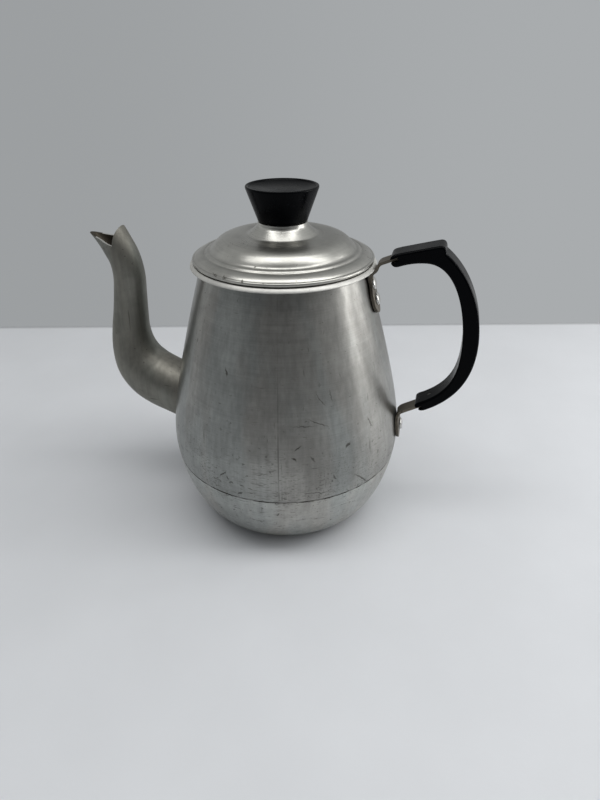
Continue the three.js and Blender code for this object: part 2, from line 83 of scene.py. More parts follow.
class CoffeePotSizes(bpy.types.PropertyGroup):
    base_radius: length("Base radius", "Radius of the flat underside", 37)
    belly_radius: length("Belly radius", "Radius of the pot at its widest", 62.5)
    belly_height: length("Belly height", "Height of the widest place", 50)
    sheet: length("Sheet", "Thickness of the pot's wall", 1.2)
    spout_sheet: length("Spout sheet", "Thickness of the spout's wall", 1.1)
    strainer_hole: length("Strainer hole", "Radius of the holes at the spout's root", 1.9)
    strap_width: length("Strap width", "Width of the brackets on the wall", 12)
    tang_width: length("Tang width", "Width of the brackets inside the handle", 8)
    strap_sheet: length("Strap sheet", "Thickness of the brackets", 1.4)
    rivet_radius: length("Rivet radius", "Radius of a rivet's head", 3.2)
    grip_width: length("Handle width", "Thickness of the handle from side to side", 13)
    grip_edge: length("Handle edge", "Radius of the handle's long edges", 1.1)
    knob_radius: length("Knob radius", "Radius of the knob at its top", 17.5)


class CoffeePotColours(bpy.types.PropertyGroup):
    body: colour("Body", "Spun aluminium of the pot", "#9e9e9c")
    # On the pot's bead this lighter rim colour is a painted highlight
    rim: colour("Rim", "Worn edge of the pot's mouth", "#d8d7d2")
    lid: colour("Lid", "Spun aluminium of the lid", "#b9b8b2")
    spout: colour("Spout", "Dull aluminium of the spout", "#8c8b85")
    strap: colour("Strap", "Tarnished aluminium of the brackets", "#746e64")
    rivet: colour("Rivet", "Bright aluminium of the rivets", "#c6c5c1")
    resin: colour("Resin", "Black handle and knob", "#020305")
    steel: colour("Steel", "Screw, washer and pins", "#8f8e8b")
    brass: colour("Brass", "Bush in the knob", "#b5935a")
    floor: colour("Floor", "Table top", "#dadcdf")
    wall: colour("Wall", "Background above the table", "#a9acae")


# Curves in the (x, z) plane, in millimetres


def bezier_at(controls, t):
    """Place and direction on a Bezier curve of any order."""
    points = [Vector(p) for p in controls]
    while len(points) > 2:
        points = [a.lerp(b, t) for a, b in zip(points, points[1:])]
    return points[0].lerp(points[1], t), (points[1] - points[0]).normalized()


def curve(*controls, steps=8):
    """Points along a Bezier curve, without its first control point."""
    return [tuple(bezier_at(controls, i / steps)[0]) for i in range(1, steps + 1)]


def path(start, *legs):
    """Points from a start through legs: points, or the further control points of a curve and its steps."""
    points = [start]
    for leg in legs:
        is_point = isinstance(leg[0], (int, float))
        points += [leg] if is_point else curve(points[-1], *leg[:-1], steps=leg[-1])
    return points


def arc(centre, radius, start, end, steps):
    """Points along an arc between two angles in degrees, both ends included."""
    angles = [math.radians(start + (end - start) * i / steps) for i in range(steps + 1)]
    return [(centre[0] + radius * math.cos(a), centre[1] + radius * math.sin(a)) for a in angles]


NECK_FOOT = (42.6, 137.1)


def wall_curves(sizes):
    """The belly's and the neck's curve, from the base up to the mouth's flare."""
    base, widest, height = sizes.base_radius / MM, sizes.belly_radius / MM, sizes.belly_height / MM
    belly = ((base, 0), (54.1, 0), (widest, 32.6), (widest, height))
    neck = ((widest, height), (widest, 69), (49.3, 113.8), NECK_FOOT)
    return belly, neck


def height_on(controls, height):
    """The parameter at which a rising curve reaches a height, found by halving."""
    low, high = 0.0, 1.0
    for _ in range(40):
        middle = (low + high) / 2
        if bezier_at(controls, middle)[0].y < height:
            low = middle
        else:
            high = middle
    return low


def wall(controls, start, end, steps, inset=0.0):
    """Points along a wall curve, moved towards the axis by inset."""
    points = []
    for i in range(steps + 1):
        place, along = bezier_at(controls, start + (end - start) * i / steps)
        points.append((place.x - along.y * inset, place.y + along.x * inset))
    return points


def wall_at(sizes, height):
    """Place and outward direction on the pot's wall at a height."""
    belly, neck = wall_curves(sizes)
    controls = belly if height < sizes.belly_height / MM else neck
    place, along = bezier_at(controls, height_on(controls, height))
    return place, Vector((along.y, -along.x))


# Modelling by hand

DOUBLES = 0.005 * MM
CREASE = math.radians(35)


def set_down():
    """Leaves edit mode and deselects everything, so that the next operator acts on its own piece alone."""
    if bpy.context.mode != "OBJECT":
        bpy.ops.object.mode_set(mode="OBJECT")
    bpy.ops.object.select_all(action="DESELECT")


def take(piece):
    """Makes a piece the only selected and active object."""
    set_down()
    piece.select_set(True)
    bpy.context.view_layer.objects.active = piece


def name_new(name):
    """Names the primitive that was just added."""
    piece = bpy.context.active_object
    piece.name = piece.data.name = name
    return piece


def draw(name, points, y=0.0):
    """Draws a wire through (x, z) points in millimetres by extruding one vertex. Stays in edit mode."""
    set_down()
    bpy.ops.mesh.primitive_plane_add(size=MM)
    piece = name_new(name)
    bpy.ops.object.mode_set(mode="EDIT")
    bpy.ops.mesh.select_all(action="SELECT")
    bpy.ops.mesh.merge(type="CENTER")
    here = Vector((points[0][0], y, points[0][1])) * MM
    bpy.ops.transform.translate(value=here)
    for x, z in points[1:]:
        there = Vector((x, y, z)) * MM
        bpy.ops.mesh.extrude_vertices_move(TRANSFORM_OT_translate={"value": there - here})
        here = there
    return piece


def close_up():
    """Merges doubled points, turns the faces outwards, leaves edit mode and smooths all but the creases."""
    bpy.ops.mesh.select_all(action="SELECT")
    bpy.ops.mesh.remove_doubles(threshold=DOUBLES)
    bpy.ops.mesh.normals_make_consistent(inside=False)
    bpy.ops.object.mode_set(mode="OBJECT")
    bpy.ops.object.shade_smooth_by_angle(angle=CREASE)


def turn(name, profile, sides=96):
    """A piece turned about Z from a profile of (radius, height) points."""
    piece = draw(name, profile)
    bpy.ops.mesh.select_all(action="SELECT")
    bpy.ops.mesh.spin(steps=sides, dupli=False, angle=math.tau, center=(0, 0, 0), axis=(0, 0, 1))
    close_up()
    return piece


def slab(name, outline, low, high):
    """A filled outline of (x, z) points, pulled along Y from low to high."""
    piece = draw(name, [*outline, outline[0]], low)
    bpy.ops.mesh.select_all(action="SELECT")
    bpy.ops.mesh.remove_doubles(threshold=DOUBLES)
    bpy.ops.mesh.edge_face_add()
    bpy.ops.mesh.extrude_region_move(TRANSFORM_OT_translate={"value": (0, (high - low) * MM, 0)})
    close_up()
    return piece


def pull(stations, start):
    """Extrudes the selected row or ring from station to station: (centre, tilt about Y, width, height)."""
    centre, tilt, wide, deep = start
    for new_centre, new_tilt, new_wide, new_deep in stations:
        bpy.ops.mesh.extrude_edges_move(TRANSFORM_OT_translate={"value": new_centre - centre})
        across = new_wide / wide
        along = new_deep / deep
        bpy.ops.transform.resize(value=(along, across, along), center_override=new_centre)
        bpy.ops.transform.rotate(value=tilt - new_tilt, orient_axis="Y", center_override=new_centre)
        centre, tilt, wide, deep = new_centre, new_tilt, new_wide, new_deep


def finish(piece, kind, **settings):
    """Adds a modifier with its settings and applies it."""
    take(piece)
    bpy.ops.object.modifier_add(type=kind)
    modifier = piece.modifiers[-1]
    for key, value in settings.items():
        setattr(modifier, key, value)
    bpy.ops.object.modifier_apply(modifier=modifier.name)
    return piece


def cut(piece, tool):
    """Cuts a piece with a tool, which is then thrown away."""
    finish(piece, "BOOLEAN", operation="DIFFERENCE", solver="EXACT", object=tool)
    bpy.data.objects.remove(tool)
    return piece


def soften(piece, width, segments=2, angle=50):
    """Rounds the sharp edges of a piece."""
    finish(
        piece, "BEVEL", width=width * MM, segments=segments, limit_method="ANGLE",
        angle_limit=math.radians(angle), harden_normals=True,
    )
    return piece


def smooth(piece):
    """Smooths all but the creases."""
    take(piece)
    bpy.ops.object.shade_smooth_by_angle(angle=CREASE)
    return piece


def put(piece, place, along):
    """Moves a piece modelled about Z to a place (x, z) in millimetres, with its Z axis along a direction."""
    take(piece)
    piece.rotation_euler = Euler((0, math.atan2(along[0], along[1]), 0))
    piece.location = Vector((place[0], 0, place[1])) * MM
    bpy.ops.object.transform_apply(location=True, rotation=True, scale=True)
    return piece


def block(name, size, place, along):
    """A block cutter with sizes along X, Y and Z, turned so that its Z axis runs along a direction."""
    set_down()
    bpy.ops.mesh.primitive_cube_add(size=MM, scale=size)
    return put(name_new(name), place, along)


def bar(name, radius, depth, place, along, sides=32):
    """A round cutter about a direction."""
    set_down()
    bpy.ops.mesh.primitive_cylinder_add(vertices=sides, radius=radius * MM, depth=depth * MM)
    return put(name_new(name), place, along)


def settle(piece, body, node, slot, *materials):
    """Puts a finished piece on its body, in place of its CAD node, with its materials."""
    for i, material in enumerate(materials):
        if i < len(piece.data.materials):
            piece.data.materials[i] = material
        else:
            piece.data.materials.append(material)
    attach(piece, body)
    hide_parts(node)
    set_down()


# Material nodes

EASED = {"interpolation_type": "SMOOTHSTEP"}


def add_node(tree, kind, *inputs, out=0, **settings):
    """Adds a shader node with its own settings. Inputs are values, or sockets to link from: in the node's own
    order, or by name or number in a dictionary."""
    made = tree.nodes.new("ShaderNode" + kind)
    for key, value in settings.items():
        setattr(made, key, value)
    if not (inputs and isinstance(inputs[0], dict)):
        inputs = [dict(enumerate(inputs))]
    for key, value in inputs[0].items():
        if isinstance(value, bpy.types.NodeSocket):
            tree.links.new(value, made.inputs[key])
        else:
            made.inputs[key].default_value = value
    return made if out is None else made.outputs[out]


def new_material(name):
    """An empty material, the function that adds its nodes, and its Object coordinates."""
    material = bpy.data.materials.new(name)
    material.use_nodes = True
    material.node_tree.nodes.clear()
    add = partial(add_node, material.node_tree)
    return material, add, add("TexCoord", out="Object")


def scaled(tone, factor):
    """A colour with each channel times a factor."""
    return tuple(c * factor for c in tone[:3]) + (1.0,)


SOIL = linear("#3b3732")
WOBBLE = 2.2
COOL = linear("#fbfffe")
WARM = linear("#fffdf9")


def metal(
    name, tone, roughness, soil=0.3, pits=0.4, rings=0.0, grain=0.04, brush=0.0, streaks=0.0, dents=0.0,
    anisotropy=0.0, marks=None,
):
    """Old aluminium sheet. Spinning leaves fine rings round the axis, which draw reflections out along the
    profile; use leaves cloudy tone, dark pits and short scratches. Rings, streaks and dents are in mm."""
    material, add, place = new_material(name)
    x, y, z = add("SeparateXYZ", place, out=None).outputs
    level = add("VectorMath", place, (1.0, 1.0, 0.0), operation="MULTIPLY")
    radius = add("VectorMath", level, out="Value", operation="LENGTH")
    profile = add("Math", radius, -0.8, z, operation="MULTIPLY_ADD")
    around = add("CombineXYZ", x, y, add("Math", profile, 60.0, operation="MULTIPLY"))
    # Tool rings are about 0.1 mm apart; they are drawn 0.5 mm apart so that they show
    ring = add("TexNoise", {"Vector": around, "Scale": 30.0, "Detail": 3.0, "Roughness": 0.65})
    cloud = add("TexNoise", {"Vector": place, "Scale": 30.0, "Detail": 4.0, "Roughness": 0.6})
    mottle = add("TexNoise", {"Vector": place, "Scale": 220.0, "Detail": 3.0, "Roughness": 0.65})
    # Pits up to 1 mm across, in patches
    cells = add("TexVoronoi", {"Vector": place, "Scale": 210.0}, out="Distance")
    pit = add("MapRange", cells, 0.05, 0.14, 1.0, 0.0, **EASED)
    patch = add("TexNoise", {"Vector": place, "Scale": 61.0, "Detail": 1.0})
    patch = add("MapRange", patch, 0.68 - 0.16 * pits, 0.78 - 0.16 * pits, **EASED)
    # Scratches 5 to 20 mm long, two ways. Real ones are 0.1 mm wide; these are 0.3 mm wide so that they show
    ways = []
    for scale, turned in (((45.0, 700.0, 700.0), (0.4, 0.75, 0.2)), ((600.0, 600.0, 38.0), (0.5, 0.3, 0.0))):
        drawn = add("Mapping", {"Vector": place, "Rotation": turned, "Scale": scale})
        ways.append(add("TexNoise", {"Vector": drawn, "Scale": 1.0, "Detail": 1.0}))
    scratch = add("MapRange", add("Math", *ways, operation="MAXIMUM"), 0.72, 0.8, 0.0, 0.5, **EASED)
    worn = add("Math", add("Math", pit, patch, operation="MULTIPLY"), scratch, operation="MAXIMUM")
    worn = add("Math", worn, soil, operation="MULTIPLY")
    if marks:
        worn = add("Math", worn, marks(add, place, z), operation="MAXIMUM")
    shade = add("MapRange", add("Math", mottle, 0.35, cloud, operation="MULTIPLY_ADD"), 0.5, 0.85, **EASED)
    clean = add("Mix", {0: shade, 6: scaled(tone, 0.78), 7: tone}, out=2, data_type="RGBA")
    lined = add("MapRange", ring, 0.3, 0.7, 1.0 - grain, 1.0 + grain, **EASED)
    if brush:
        # Strokes of cleaning down the sheet, 1 to 3 mm apart
        down = add("Mapping", {"Vector": place, "Scale": (1.0, 1.0, 0.03)})
        hairs = add("TexNoise", {"Vector": down, "Scale": 420.0, "Detail": 3.0, "Roughness": 0.6})
        hairs = add("MapRange", hairs, 0.3, 0.7, 1.0 - brush, 1.0 + brush, **EASED)
        lined = add("Math", lined, hairs, operation="MULTIPLY")
        # The metal is a little warmer and cooler in broad strips
        down = add("Mapping", {"Vector": place, "Scale": (1.0, 1.0, 0.1)})
        strip = add("MapRange", add("TexNoise", {"Vector": down, "Scale": 42.0}), 0.4, 0.6, **EASED)
        tint = add("Mix", {0: strip, 6: COOL, 7: WARM}, out=2, data_type="RGBA")
        clean = add("VectorMath", clean, tint, operation="MULTIPLY")
    lined = add("VectorMath", clean, lined, operation="MULTIPLY")
    soiled = add("Mix", {0: worn, 6: lined, 7: SOIL}, out=2, data_type="RGBA")
    rough = add("Math", ring, 1.5 * grain, roughness - 0.75 * grain, operation="MULTIPLY_ADD")
    for pattern, share in ((shade, -0.07), (mottle, 0.08), (worn, 0.25)):
        rough = add("Math", pattern, share, rough, operation="MULTIPLY_ADD")
    # Long shallow waves down the sheet, and soft dents
    down = add("Mapping", {"Vector": place, "Scale": (1.0, 1.0, 0.1)})
    waves = add("TexNoise", {"Vector": down, "Scale": 75.0})
    dented = add("TexNoise", {"Vector": place, "Scale": 48.0, "Detail": 1.0})
    surface = {"Base Color": soiled, "Metallic": 1.0, "Roughness": rough}
    bumps = (dented, dents), (waves, streaks), (mottle, 0.012), (ring, rings), (worn, -0.04)
    for height, distance in bumps:
        if distance:
            below = {"Normal": surface["Normal"]} if "Normal" in surface else {}
            surface["Normal"] = add("Bump", {"Height": height, "Distance": distance * MM, **below})
    if anisotropy:
        surface["Anisotropic"] = anisotropy
        surface["Anisotropic Rotation"] = 0.25
        surface["Tangent"] = add("Tangent", direction_type="RADIAL", axis="Z")
    add("OutputMaterial", add("BsdfPrincipled", surface), out=None)
    return material


def strokes(add, place, table):
    """Single scratches and nicks on the side that faces the camera: (side, height, length, slope, width,
    strength), in mm and degrees as the camera sees them."""
    wobble = add("TexNoise", {"Vector": place, "Scale": 420.0, "Detail": 2.0}, out="Color")
    bent = add("VectorMath", wobble, (WOBBLE * MM,) * 3, place, operation="MULTIPLY_ADD")
    facing = add("Mapping", {"Vector": bent, "Rotation": (0.0, 0.0, -math.atan2(SIDE[1], SIDE[0]))})
    side, front, up = add("SeparateXYZ", facing, out=None).outputs
    flat = add("CombineXYZ", side, 0.0, up)
    most = 0.0
    for middle, height, long, slope, wide, strength in table:
        spot = add("Mapping", {
            "Vector": flat, "Location": ((middle + WOBBLE / 2) * MM, 0.0, (height + WOBBLE / 2) * MM),
            "Rotation": (0.0, -math.radians(slope), 0.0), "Scale": (long * 0.55 * MM, 1.0, wide * 0.5 * MM),
        }, vector_type="TEXTURE")
        reach = add("VectorMath", spot, out="Value", operation="LENGTH")
        mask = add("MapRange", reach, 0.3, 1.0, strength, 0.0, **EASED)
        most = add("Math", most, mask, operation="MAXIMUM")
    return add("Math", most, add("Math", front, 0.0, operation="LESS_THAN"), operation="MULTIPLY")


def pot_marks(add, place, z):
    """What use has left on the pot: soil in the seam, dark nicks and spots low down and scratches. Painted on
    too: a faint dark line down the front, which is a painted reflection, and painted shade round the foot."""
    # Soil in the seam, broken up
    away = add("Math", z, SEAM * MM, 0.35 * MM, operation="COMPARE")
    seam = add("MapRange", add("TexNoise", {"Vector": place, "Scale": 160.0}), 0.35, 0.6, **EASED)
    marks = [add("Math", seam, away, operation="MULTIPLY")]
    # Nicks 2 to 5 mm long and 0.4 mm high
    drawn = add("Mapping", {"Vector": place, "Scale": (230.0, 230.0, 1500.0)})
    nick = add("MapRange", add("TexNoise", {"Vector": drawn, "Scale": 1.0}), 0.64, 0.74, **EASED)
    low = add("MapRange", z, 0.038, 0.075, 0.7, 0.0, **EASED)
    marks.append(add("Math", nick, low, operation="MULTIPLY"))
    # Soil that has run together in small spots towards the base
    spot = add("TexNoise", {"Vector": place, "Scale": 420.0, "Roughness": 0.6})
    spot = add("MapRange", spot, 0.63, 0.75, **EASED)
    low = add("MapRange", z, 0.04, 0.1, 0.6, 0.1, **EASED)
    marks.append(add("Math", spot, low, operation="MULTIPLY"))
    # Fine scratches of scouring, crowded above the seam
    crowded = add("MapRange", add("TexNoise", {"Vector": place, "Scale": 48.0}), 0.4, 0.6, 0.35, 1.0, **EASED)
    for low in ((0.042, 0.08, 0.62, 0.0), (0.034, 0.039, 0.3, 1.0)):
        crowded = add("Math", crowded, add("MapRange", z, *low, **EASED), operation="MULTIPLY")
    for turned in ((0.5, 0.9, 0.3), (0.2, -0.6, 0.8), (1.1, 0.2, -0.4)):
        drawn = add("Mapping", {"Vector": place, "Rotation": turned, "Scale": (170.0, 1300.0, 1300.0)})
        fine = add("TexNoise", {"Vector": drawn, "Scale": 1.0, "Detail": 1.0})
        fine = add("MapRange", fine, 0.62, 0.74, **EASED)
        marks.append(add("Math", fine, crowded, operation="MULTIPLY"))
    # Painted shade round the foot: the sheet darkens over its lowest 10 mm, next to the table
    foot = add("MapRange", add("TexNoise", {"Vector": place, "Scale": 90.0}), 0.2, 0.6, 0.5, 1.0, **EASED)
    low = add("MapRange", z, 0.001, 0.01, 0.9, 0.0, **EASED)
    marks.append(add("Math", foot, low, operation="MULTIPLY"))
    marks.append(strokes(add, place, POT_STROKES))
    # A painted reflection: a thin dark line stands where the pot's front faces the camera, and runs from the
    # seam to the shoulder
    facing = add("Mapping", {"Vector": place, "Rotation": (0.0, 0.0, REFLECTED_LINE_TURN)})
    side, front, up = add("SeparateXYZ", facing, out=None).outputs
    side = add("Math", side, operation="ABSOLUTE")
    line = add("MapRange", side, 0.1 * MM, 0.45 * MM, 1.0, 0.0, **EASED)
    broken = add("MapRange", add("TexNoise", {"Vector": place, "Scale": 70.0}), 0.35, 0.6, 0.1, 0.5, **EASED)
    for part in (
        add("Math", front, 0.0, operation="LESS_THAN"), add("Math", up, SEAM * MM, operation="GREATER_THAN"),
        broken, add("MapRange", z, 0.07, 0.12, 1.0, 0.2, **EASED),
    ):
        line = add("Math", line, part, operation="MULTIPLY")
    for mark in marks:
        line = add("Math", line, mark, operation="MAXIMUM")
    return line


def lid_marks(add, place, z):
    """Dents along the lid's front edge, with soil in them."""
    return strokes(add, place, LID_STROKES)


def boiled_aluminium(name, tone):
    """The inside of an old pot: aluminium greyed by boiling, matt, with brown tide marks of coffee."""
    material, add, place = new_material(name)
    z = add("SeparateXYZ", place, out="Z")
    cloud = add("TexNoise", {"Vector": place, "Scale": 60.0, "Detail": 5.0, "Roughness": 0.6})
    tide = add("MapRange", add("Math", cloud, 0.03, z, operation="MULTIPLY_ADD"), 0.06, 0.13)
    stained = add("Mix", {0: tide, 6: linear("#5a5047"), 7: tone}, out=2, data_type="RGBA")
    mottled = add("MapRange", {"Value": cloud, "To Min": 0.7, "To Max": 1.15})
    mottled = add("VectorMath", stained, mottled, operation="MULTIPLY")
    rough = add("MapRange", {"Value": cloud, "To Min": 0.45, "To Max": 0.7})
    bump = add("Bump", {"Height": cloud, "Distance": 0.15 * MM})
    surface = {"Base Color": mottled, "Metallic": 0.85, "Roughness": rough, "Normal": bump}
    add("OutputMaterial", add("BsdfPrincipled", surface), out=None)
    return material


def phenolic(name, tone):
    """Black phenolic resin, pressed in a polished mould: deep black with a soft gloss, dulled by handling and
    crossed by hairline scratches."""
    material, add, place = new_material(name)
    haze = add("TexNoise", {"Vector": place, "Scale": 70.0, "Detail": 4.0, "Roughness": 0.6})
    drawn = add("Mapping", {"Vector": place, "Rotation": (0.2, 0.5, 0.9), "Scale": (60.0, 900.0, 900.0)})
    hair = add("TexNoise", {"Vector": drawn, "Scale": 1.0, "Detail": 1.0})
    hair = add("MapRange", hair, 0.72, 0.8, **EASED)
    greyed = add("Math", haze, 0.05, hair, operation="MULTIPLY_ADD")
    handled = add("Mix", {0: greyed, 6: tone, 7: linear("#15171b")}, out=2, data_type="RGBA")
    rough = add("MapRange", haze, 0.3, 0.7, 0.2, 0.34, **EASED)
    rough = add("Math", hair, 0.2, rough, operation="MULTIPLY_ADD")
    fine = add("TexNoise", {"Vector": place, "Scale": 1400.0, "Detail": 1.0})
    surface = {
        "Base Color": handled, "Roughness": rough, "IOR": 1.5, "Specular IOR Level": 0.055,
        "Normal": add("Bump", {"Height": fine, "Distance": 0.004 * MM}),
    }
    add("OutputMaterial", add("BsdfPrincipled", surface), out=None)
    return material


def painted_board(name, tone):
    """A table top in satin white paint: nearly even, with a little roller texture and a few dull marks. A
    painted shadow darkens it along its far edge, where it meets the background."""
    material, add, place = new_material(name)
    cloud = add("TexNoise", {"Vector": place, "Scale": 18.0, "Detail": 3.0})
    tint = add("MapRange", cloud, 0.3, 0.7, 0.96, 1.0)
    back = add("VectorMath", place, (*VIEW, 0.0), out="Value", operation="DOT_PRODUCT")
    # Painted shadow: the board darkens over the last 6 mm before its far edge
    joint_shadow = add("MapRange", back, (FLOOR_BACK - 6) * MM, FLOOR_BACK * MM, 1.0, 0.6, **EASED)
    tint = add("Math", tint, joint_shadow, operation="MULTIPLY")
    fine = add("TexNoise", {"Vector": place, "Scale": 500.0, "Detail": 2.0})
    surface = {
        "Base Color": add("VectorMath", tone[:3], tint, operation="MULTIPLY"), "Roughness": 0.55,
        "Normal": add("Bump", {"Height": fine, "Distance": 0.03 * MM}),
    }
    add("OutputMaterial", add("BsdfPrincipled", surface), out=None)
    return material


# The pot's pieces

SEAM = 38.9
SEAM_GAP = 0.3
SEAM_LAP = 4
SEAM_LIP = 0.25
WALL_SIDES = 160
SCOURED = 1.32
BEAD_FOOT = 141.8
BEAD_INNER = 44.1
# Where the painted reflection line down the pot's front stands
REFLECTED_LINE_TURN = math.radians(-11.3)

POT_STROKES = (
    (16.4, 81.6, 12.3, -28, 0.7, 0.65), (9.1, 80.9, 14.1, -4, 0.55, 0.6), (18.5, 80.4, 5.1, -22, 0.7, 0.55),
    (17.3, 92.7, 10.9, -56, 0.6, 0.6), (22.2, 93.6, 7.7, -75, 0.9, 0.45), (-26.4, 103.7, 4.4, -86, 1.3, 0.75),
    (42.3, 74, 7.7, -63, 0.9, 0.6), (31.1, 67.3, 3.6, 47, 1.6, 0.75), (39.2, 44, 15.6, -52, 1.1, 0.75),
    (24.9, 51.7, 4.4, -69, 1.2, 0.55), (6.6, 70.4, 5, 41, 1, 0.7), (4.9, 64.7, 3.2, -35, 1.9, 0.8),
    (13.7, 64.2, 4.6, -51, 0.9, 0.55), (-30.6, 51.8, 6.1, 55, 1.1, 0.8), (-28.1, 50.8, 3, -51, 1.3, 0.7),
    (-21.3, 48, 2.7, -26, 1, 0.65), (-22.2, 42.7, 3.6, 40, 1.3, 0.8), (-11.3, 56.3, 10.9, 10, 0.7, 0.55),
    (15.4, 44.3, 19.2, -9, 0.8, 0.65), (-16.6, 46.6, 3.2, -24, 1.1, 0.65),
)
LID_STROKES = (
    (-29.8, 146.2, 2.2, 10, 0.7, 0.8), (-24.9, 146, 2.6, 5, 0.6, 0.7), (-17, 145.9, 1.8, 0, 0.7, 0.8),
    (-7.8, 145.8, 1.6, 0, 0.6, 0.8), (-11.5, 150, 1, 0, 0.6, 0.7), (6.9, 150.6, 0.9, 0, 0.5, 0.6),
    (23.5, 148.5, 1.6, 20, 0.5, 0.6),
)

SPOUT_STATIONS = [
    (-55.5, 58.8, 15.2), (-65.6, 63, 15.4), (-73.7, 66.3, 15.5), (-81.2, 70.8, 15.2), (-86.8, 77.8, 14.2),
    (-89.6, 87, 12.2), (-89.9, 97, 10.5), (-88.5, 108, 9.4), (-87.1, 119, 8.75), (-86.2, 129, 8.4),
    (-87.4, 138.1, 8.2), (-91, 145.7, 8.4), (-95.8, 153.4, 9), (-98.7, 158, 9.4),
]
SPOUT_ROOT = (-62, 61.2)
STRAINER_PITCH = 5.6
STRAINER_REACH = 11.2

UPPER_END = (Vector((52.6, 146.9)), Vector((0.924, 0.383)))
LOWER_END = (Vector((71, 69.1)), Vector((0.875, 0.485)))
STAND_OFF = 0.4
UPPER_FOOT = 119.5
LOWER_FOOT = 48.4
RIVETS = {"upper_rivet_low": 126.2, "upper_rivet_high": 133.8, "lower_rivet": 56}
FORK_DEPTH = 4.5
PIN_RADIUS = 1.2
UPPER_PIN_DEPTH = 5.5
LOWER_PIN_DEPTH = 9.5
HOLE_RADIUS = 2.3


class PotOperator(bpy.types.Operator):
    """A step that builds one piece, or one group of like pieces, of the pot."""
    bl_idname = "coffee_pot.step"
    bl_label = "Step"
    bl_options = {"REGISTER", "UNDO"}

    def execute(self, context):
        self.build(context.scene.coffee_pot_sizes, context.scene.coffee_pot_colours)
        return {"FINISHED"}


def paint(colours, name):
    """A colour property as a linear RGBA value."""
    return (*getattr(colours, name), 1.0)


def line_inside(piece, is_inside):
    """Gives a piece's inner faces its second material."""
    for face in piece.data.polygons:
        face.material_index = 1 if is_inside(face.center, face.normal) else 0


def on_bead(centre):
    """Whether a face lies on the rolled rim."""
    return centre.z > BEAD_FOOT * MM and centre.xy.length > BEAD_INNER * MM


def faces_axis(centre, normal):
    """Whether a face of the pot's wall looks inwards, or up from the pan's floor."""
    flat = Vector((centre.x, centre.y, 0))
    if MM < centre.z < 30 * MM and normal.z > 0.3:
        return True
    return flat.length > MM and normal.dot(flat.normalized()) < -0.15


class COFFEEPOT_OT_body(PotOperator):
    """Turns the base pan and the shell, and punches the strainer holes in the shell"""
    bl_idname = "coffee_pot.body"
    bl_label = "Base pan and shell"

    def build(self, sizes, colours):
        belly, neck = wall_curves(sizes)
        sheet = sizes.sheet / MM
        below = height_on(belly, SEAM - SEAM_GAP / 2)
        above = height_on(belly, SEAM + SEAM_GAP / 2)
        lap_start = height_on(belly, SEAM - SEAM_LAP / 2)
        lap_end = height_on(belly, SEAM + SEAM_LAP)
        inset = sheet + SEAM_GAP
        edge = wall(belly, below, below, 1, SEAM_LIP)[0]
        outside = [(0, 0), *wall(belly, 0, below, 40)[:-1], edge, *wall(belly, below, lap_end, 6, inset)]
        inside = [*wall(belly, 0, lap_start, 28, sheet), *wall(belly, below, lap_end, 6, inset + sheet)]
        pan = turn("spun_base_pan", [*outside, *inside[::-1], (0, sheet)], WALL_SIDES)
        line_inside(pan, faces_axis)

        rim = path(
            (42.2, 138.5), (41.85, 139.7), (41.6, 140.6), ((41.4, 141.6), (42.6, 141.8), 6),
            ((44, 141.8), (45.7, 141.7), (46.05, 142.1), 8), ((46.15, 142.3), (46, 142.5), 3),
            ((45.5, 143.2), (44.9, 143.6), 6), ((44.7, 143.75), (44.4, 143.8), 3),
            ((41.2, 143.8), (40, 141.6), (41.45, 136.77), 12),
        )
        edge = wall(belly, above, above, 1, SEAM_LIP)[0]
        outside = [edge, *wall(belly, above, 1, 10)[1:], *wall(neck, 0, 1, 44)[1:]]
        inside = [*wall(belly, above, 1, 8, sheet), *wall(neck, 0, 1, 32, sheet)[1:-1]]
        profile = [*outside, *rim, *inside[::-1], edge]
        shell = turn("spun_body_shell", profile, WALL_SIDES)
        cut(shell, self.punches(sizes))
        smooth(shell)
        line_inside(shell, faces_axis)
        # The bead takes the lighter rim colour: a painted highlight for the light the rolled rim catches
        for face in shell.data.polygons:
            if on_bead(face.center):
                face.material_index = 2

        tone = paint(colours, "body")
        spinning = {
            "soil": 0.7, "rings": 0.004, "grain": 0.05, "brush": 0.08, "streaks": 0.2, "dents": 0.32,
            "anisotropy": 0.6, "marks": pot_marks,
        }
        spun = metal("spun aluminium, satin", tone, 0.36, pits=0.2, **spinning)
        scoured = metal("spun aluminium, scoured", scaled(tone, SCOURED), 0.36, pits=0.6, **spinning)
        inner = boiled_aluminium("boiled aluminium", linear("#8f8d88"))
        settle(pan, "pot", "base_pan", "body_aluminium", scoured, inner)
        # The rim's lighter colour is a painted highlight, with worn soil and pits on it
        worn = metal("worn aluminium edge, painted highlight", paint(colours, "rim"), 0.55, soil=0.5, pits=0.6, grain=0.0)
        settle(shell, "pot", "body_shell", "body_aluminium", spun, inner, worn)

    def punches(self, sizes):
        """Round punches in rows half a pitch apart, through the wall inside the spout's root."""
        row_step = STRAINER_PITCH * math.sqrt(3) / 2
        grid = [(row, column + 0.5 * (row % 2)) for row in range(-2, 3) for column in range(-3, 4)]
        spots = [(column * STRAINER_PITCH, row * row_step) for row, column in grid]
        first, *others = [spot for spot in spots if math.hypot(*spot) <= STRAINER_REACH]
        punch = bar("punches", sizes.strainer_hole / MM, 20, SPOUT_ROOT, (1, 0), 24)
        punch.data.transform(shift(0, *first))
        copies = []
        for y, z in others:
            take(punch)
            bpy.ops.object.duplicate()
            copies.append(bpy.context.active_object)
            copies[-1].data.transform(shift(0, y - first[0], z - first[1]))
        take(punch)
        for copy in copies:
            copy.select_set(True)
        bpy.ops.object.join()
        return punch


def shift(x, y, z):
    """A move in millimetres as a matrix."""
    return Matrix.Translation(Vector((x, y, z)) * MM)


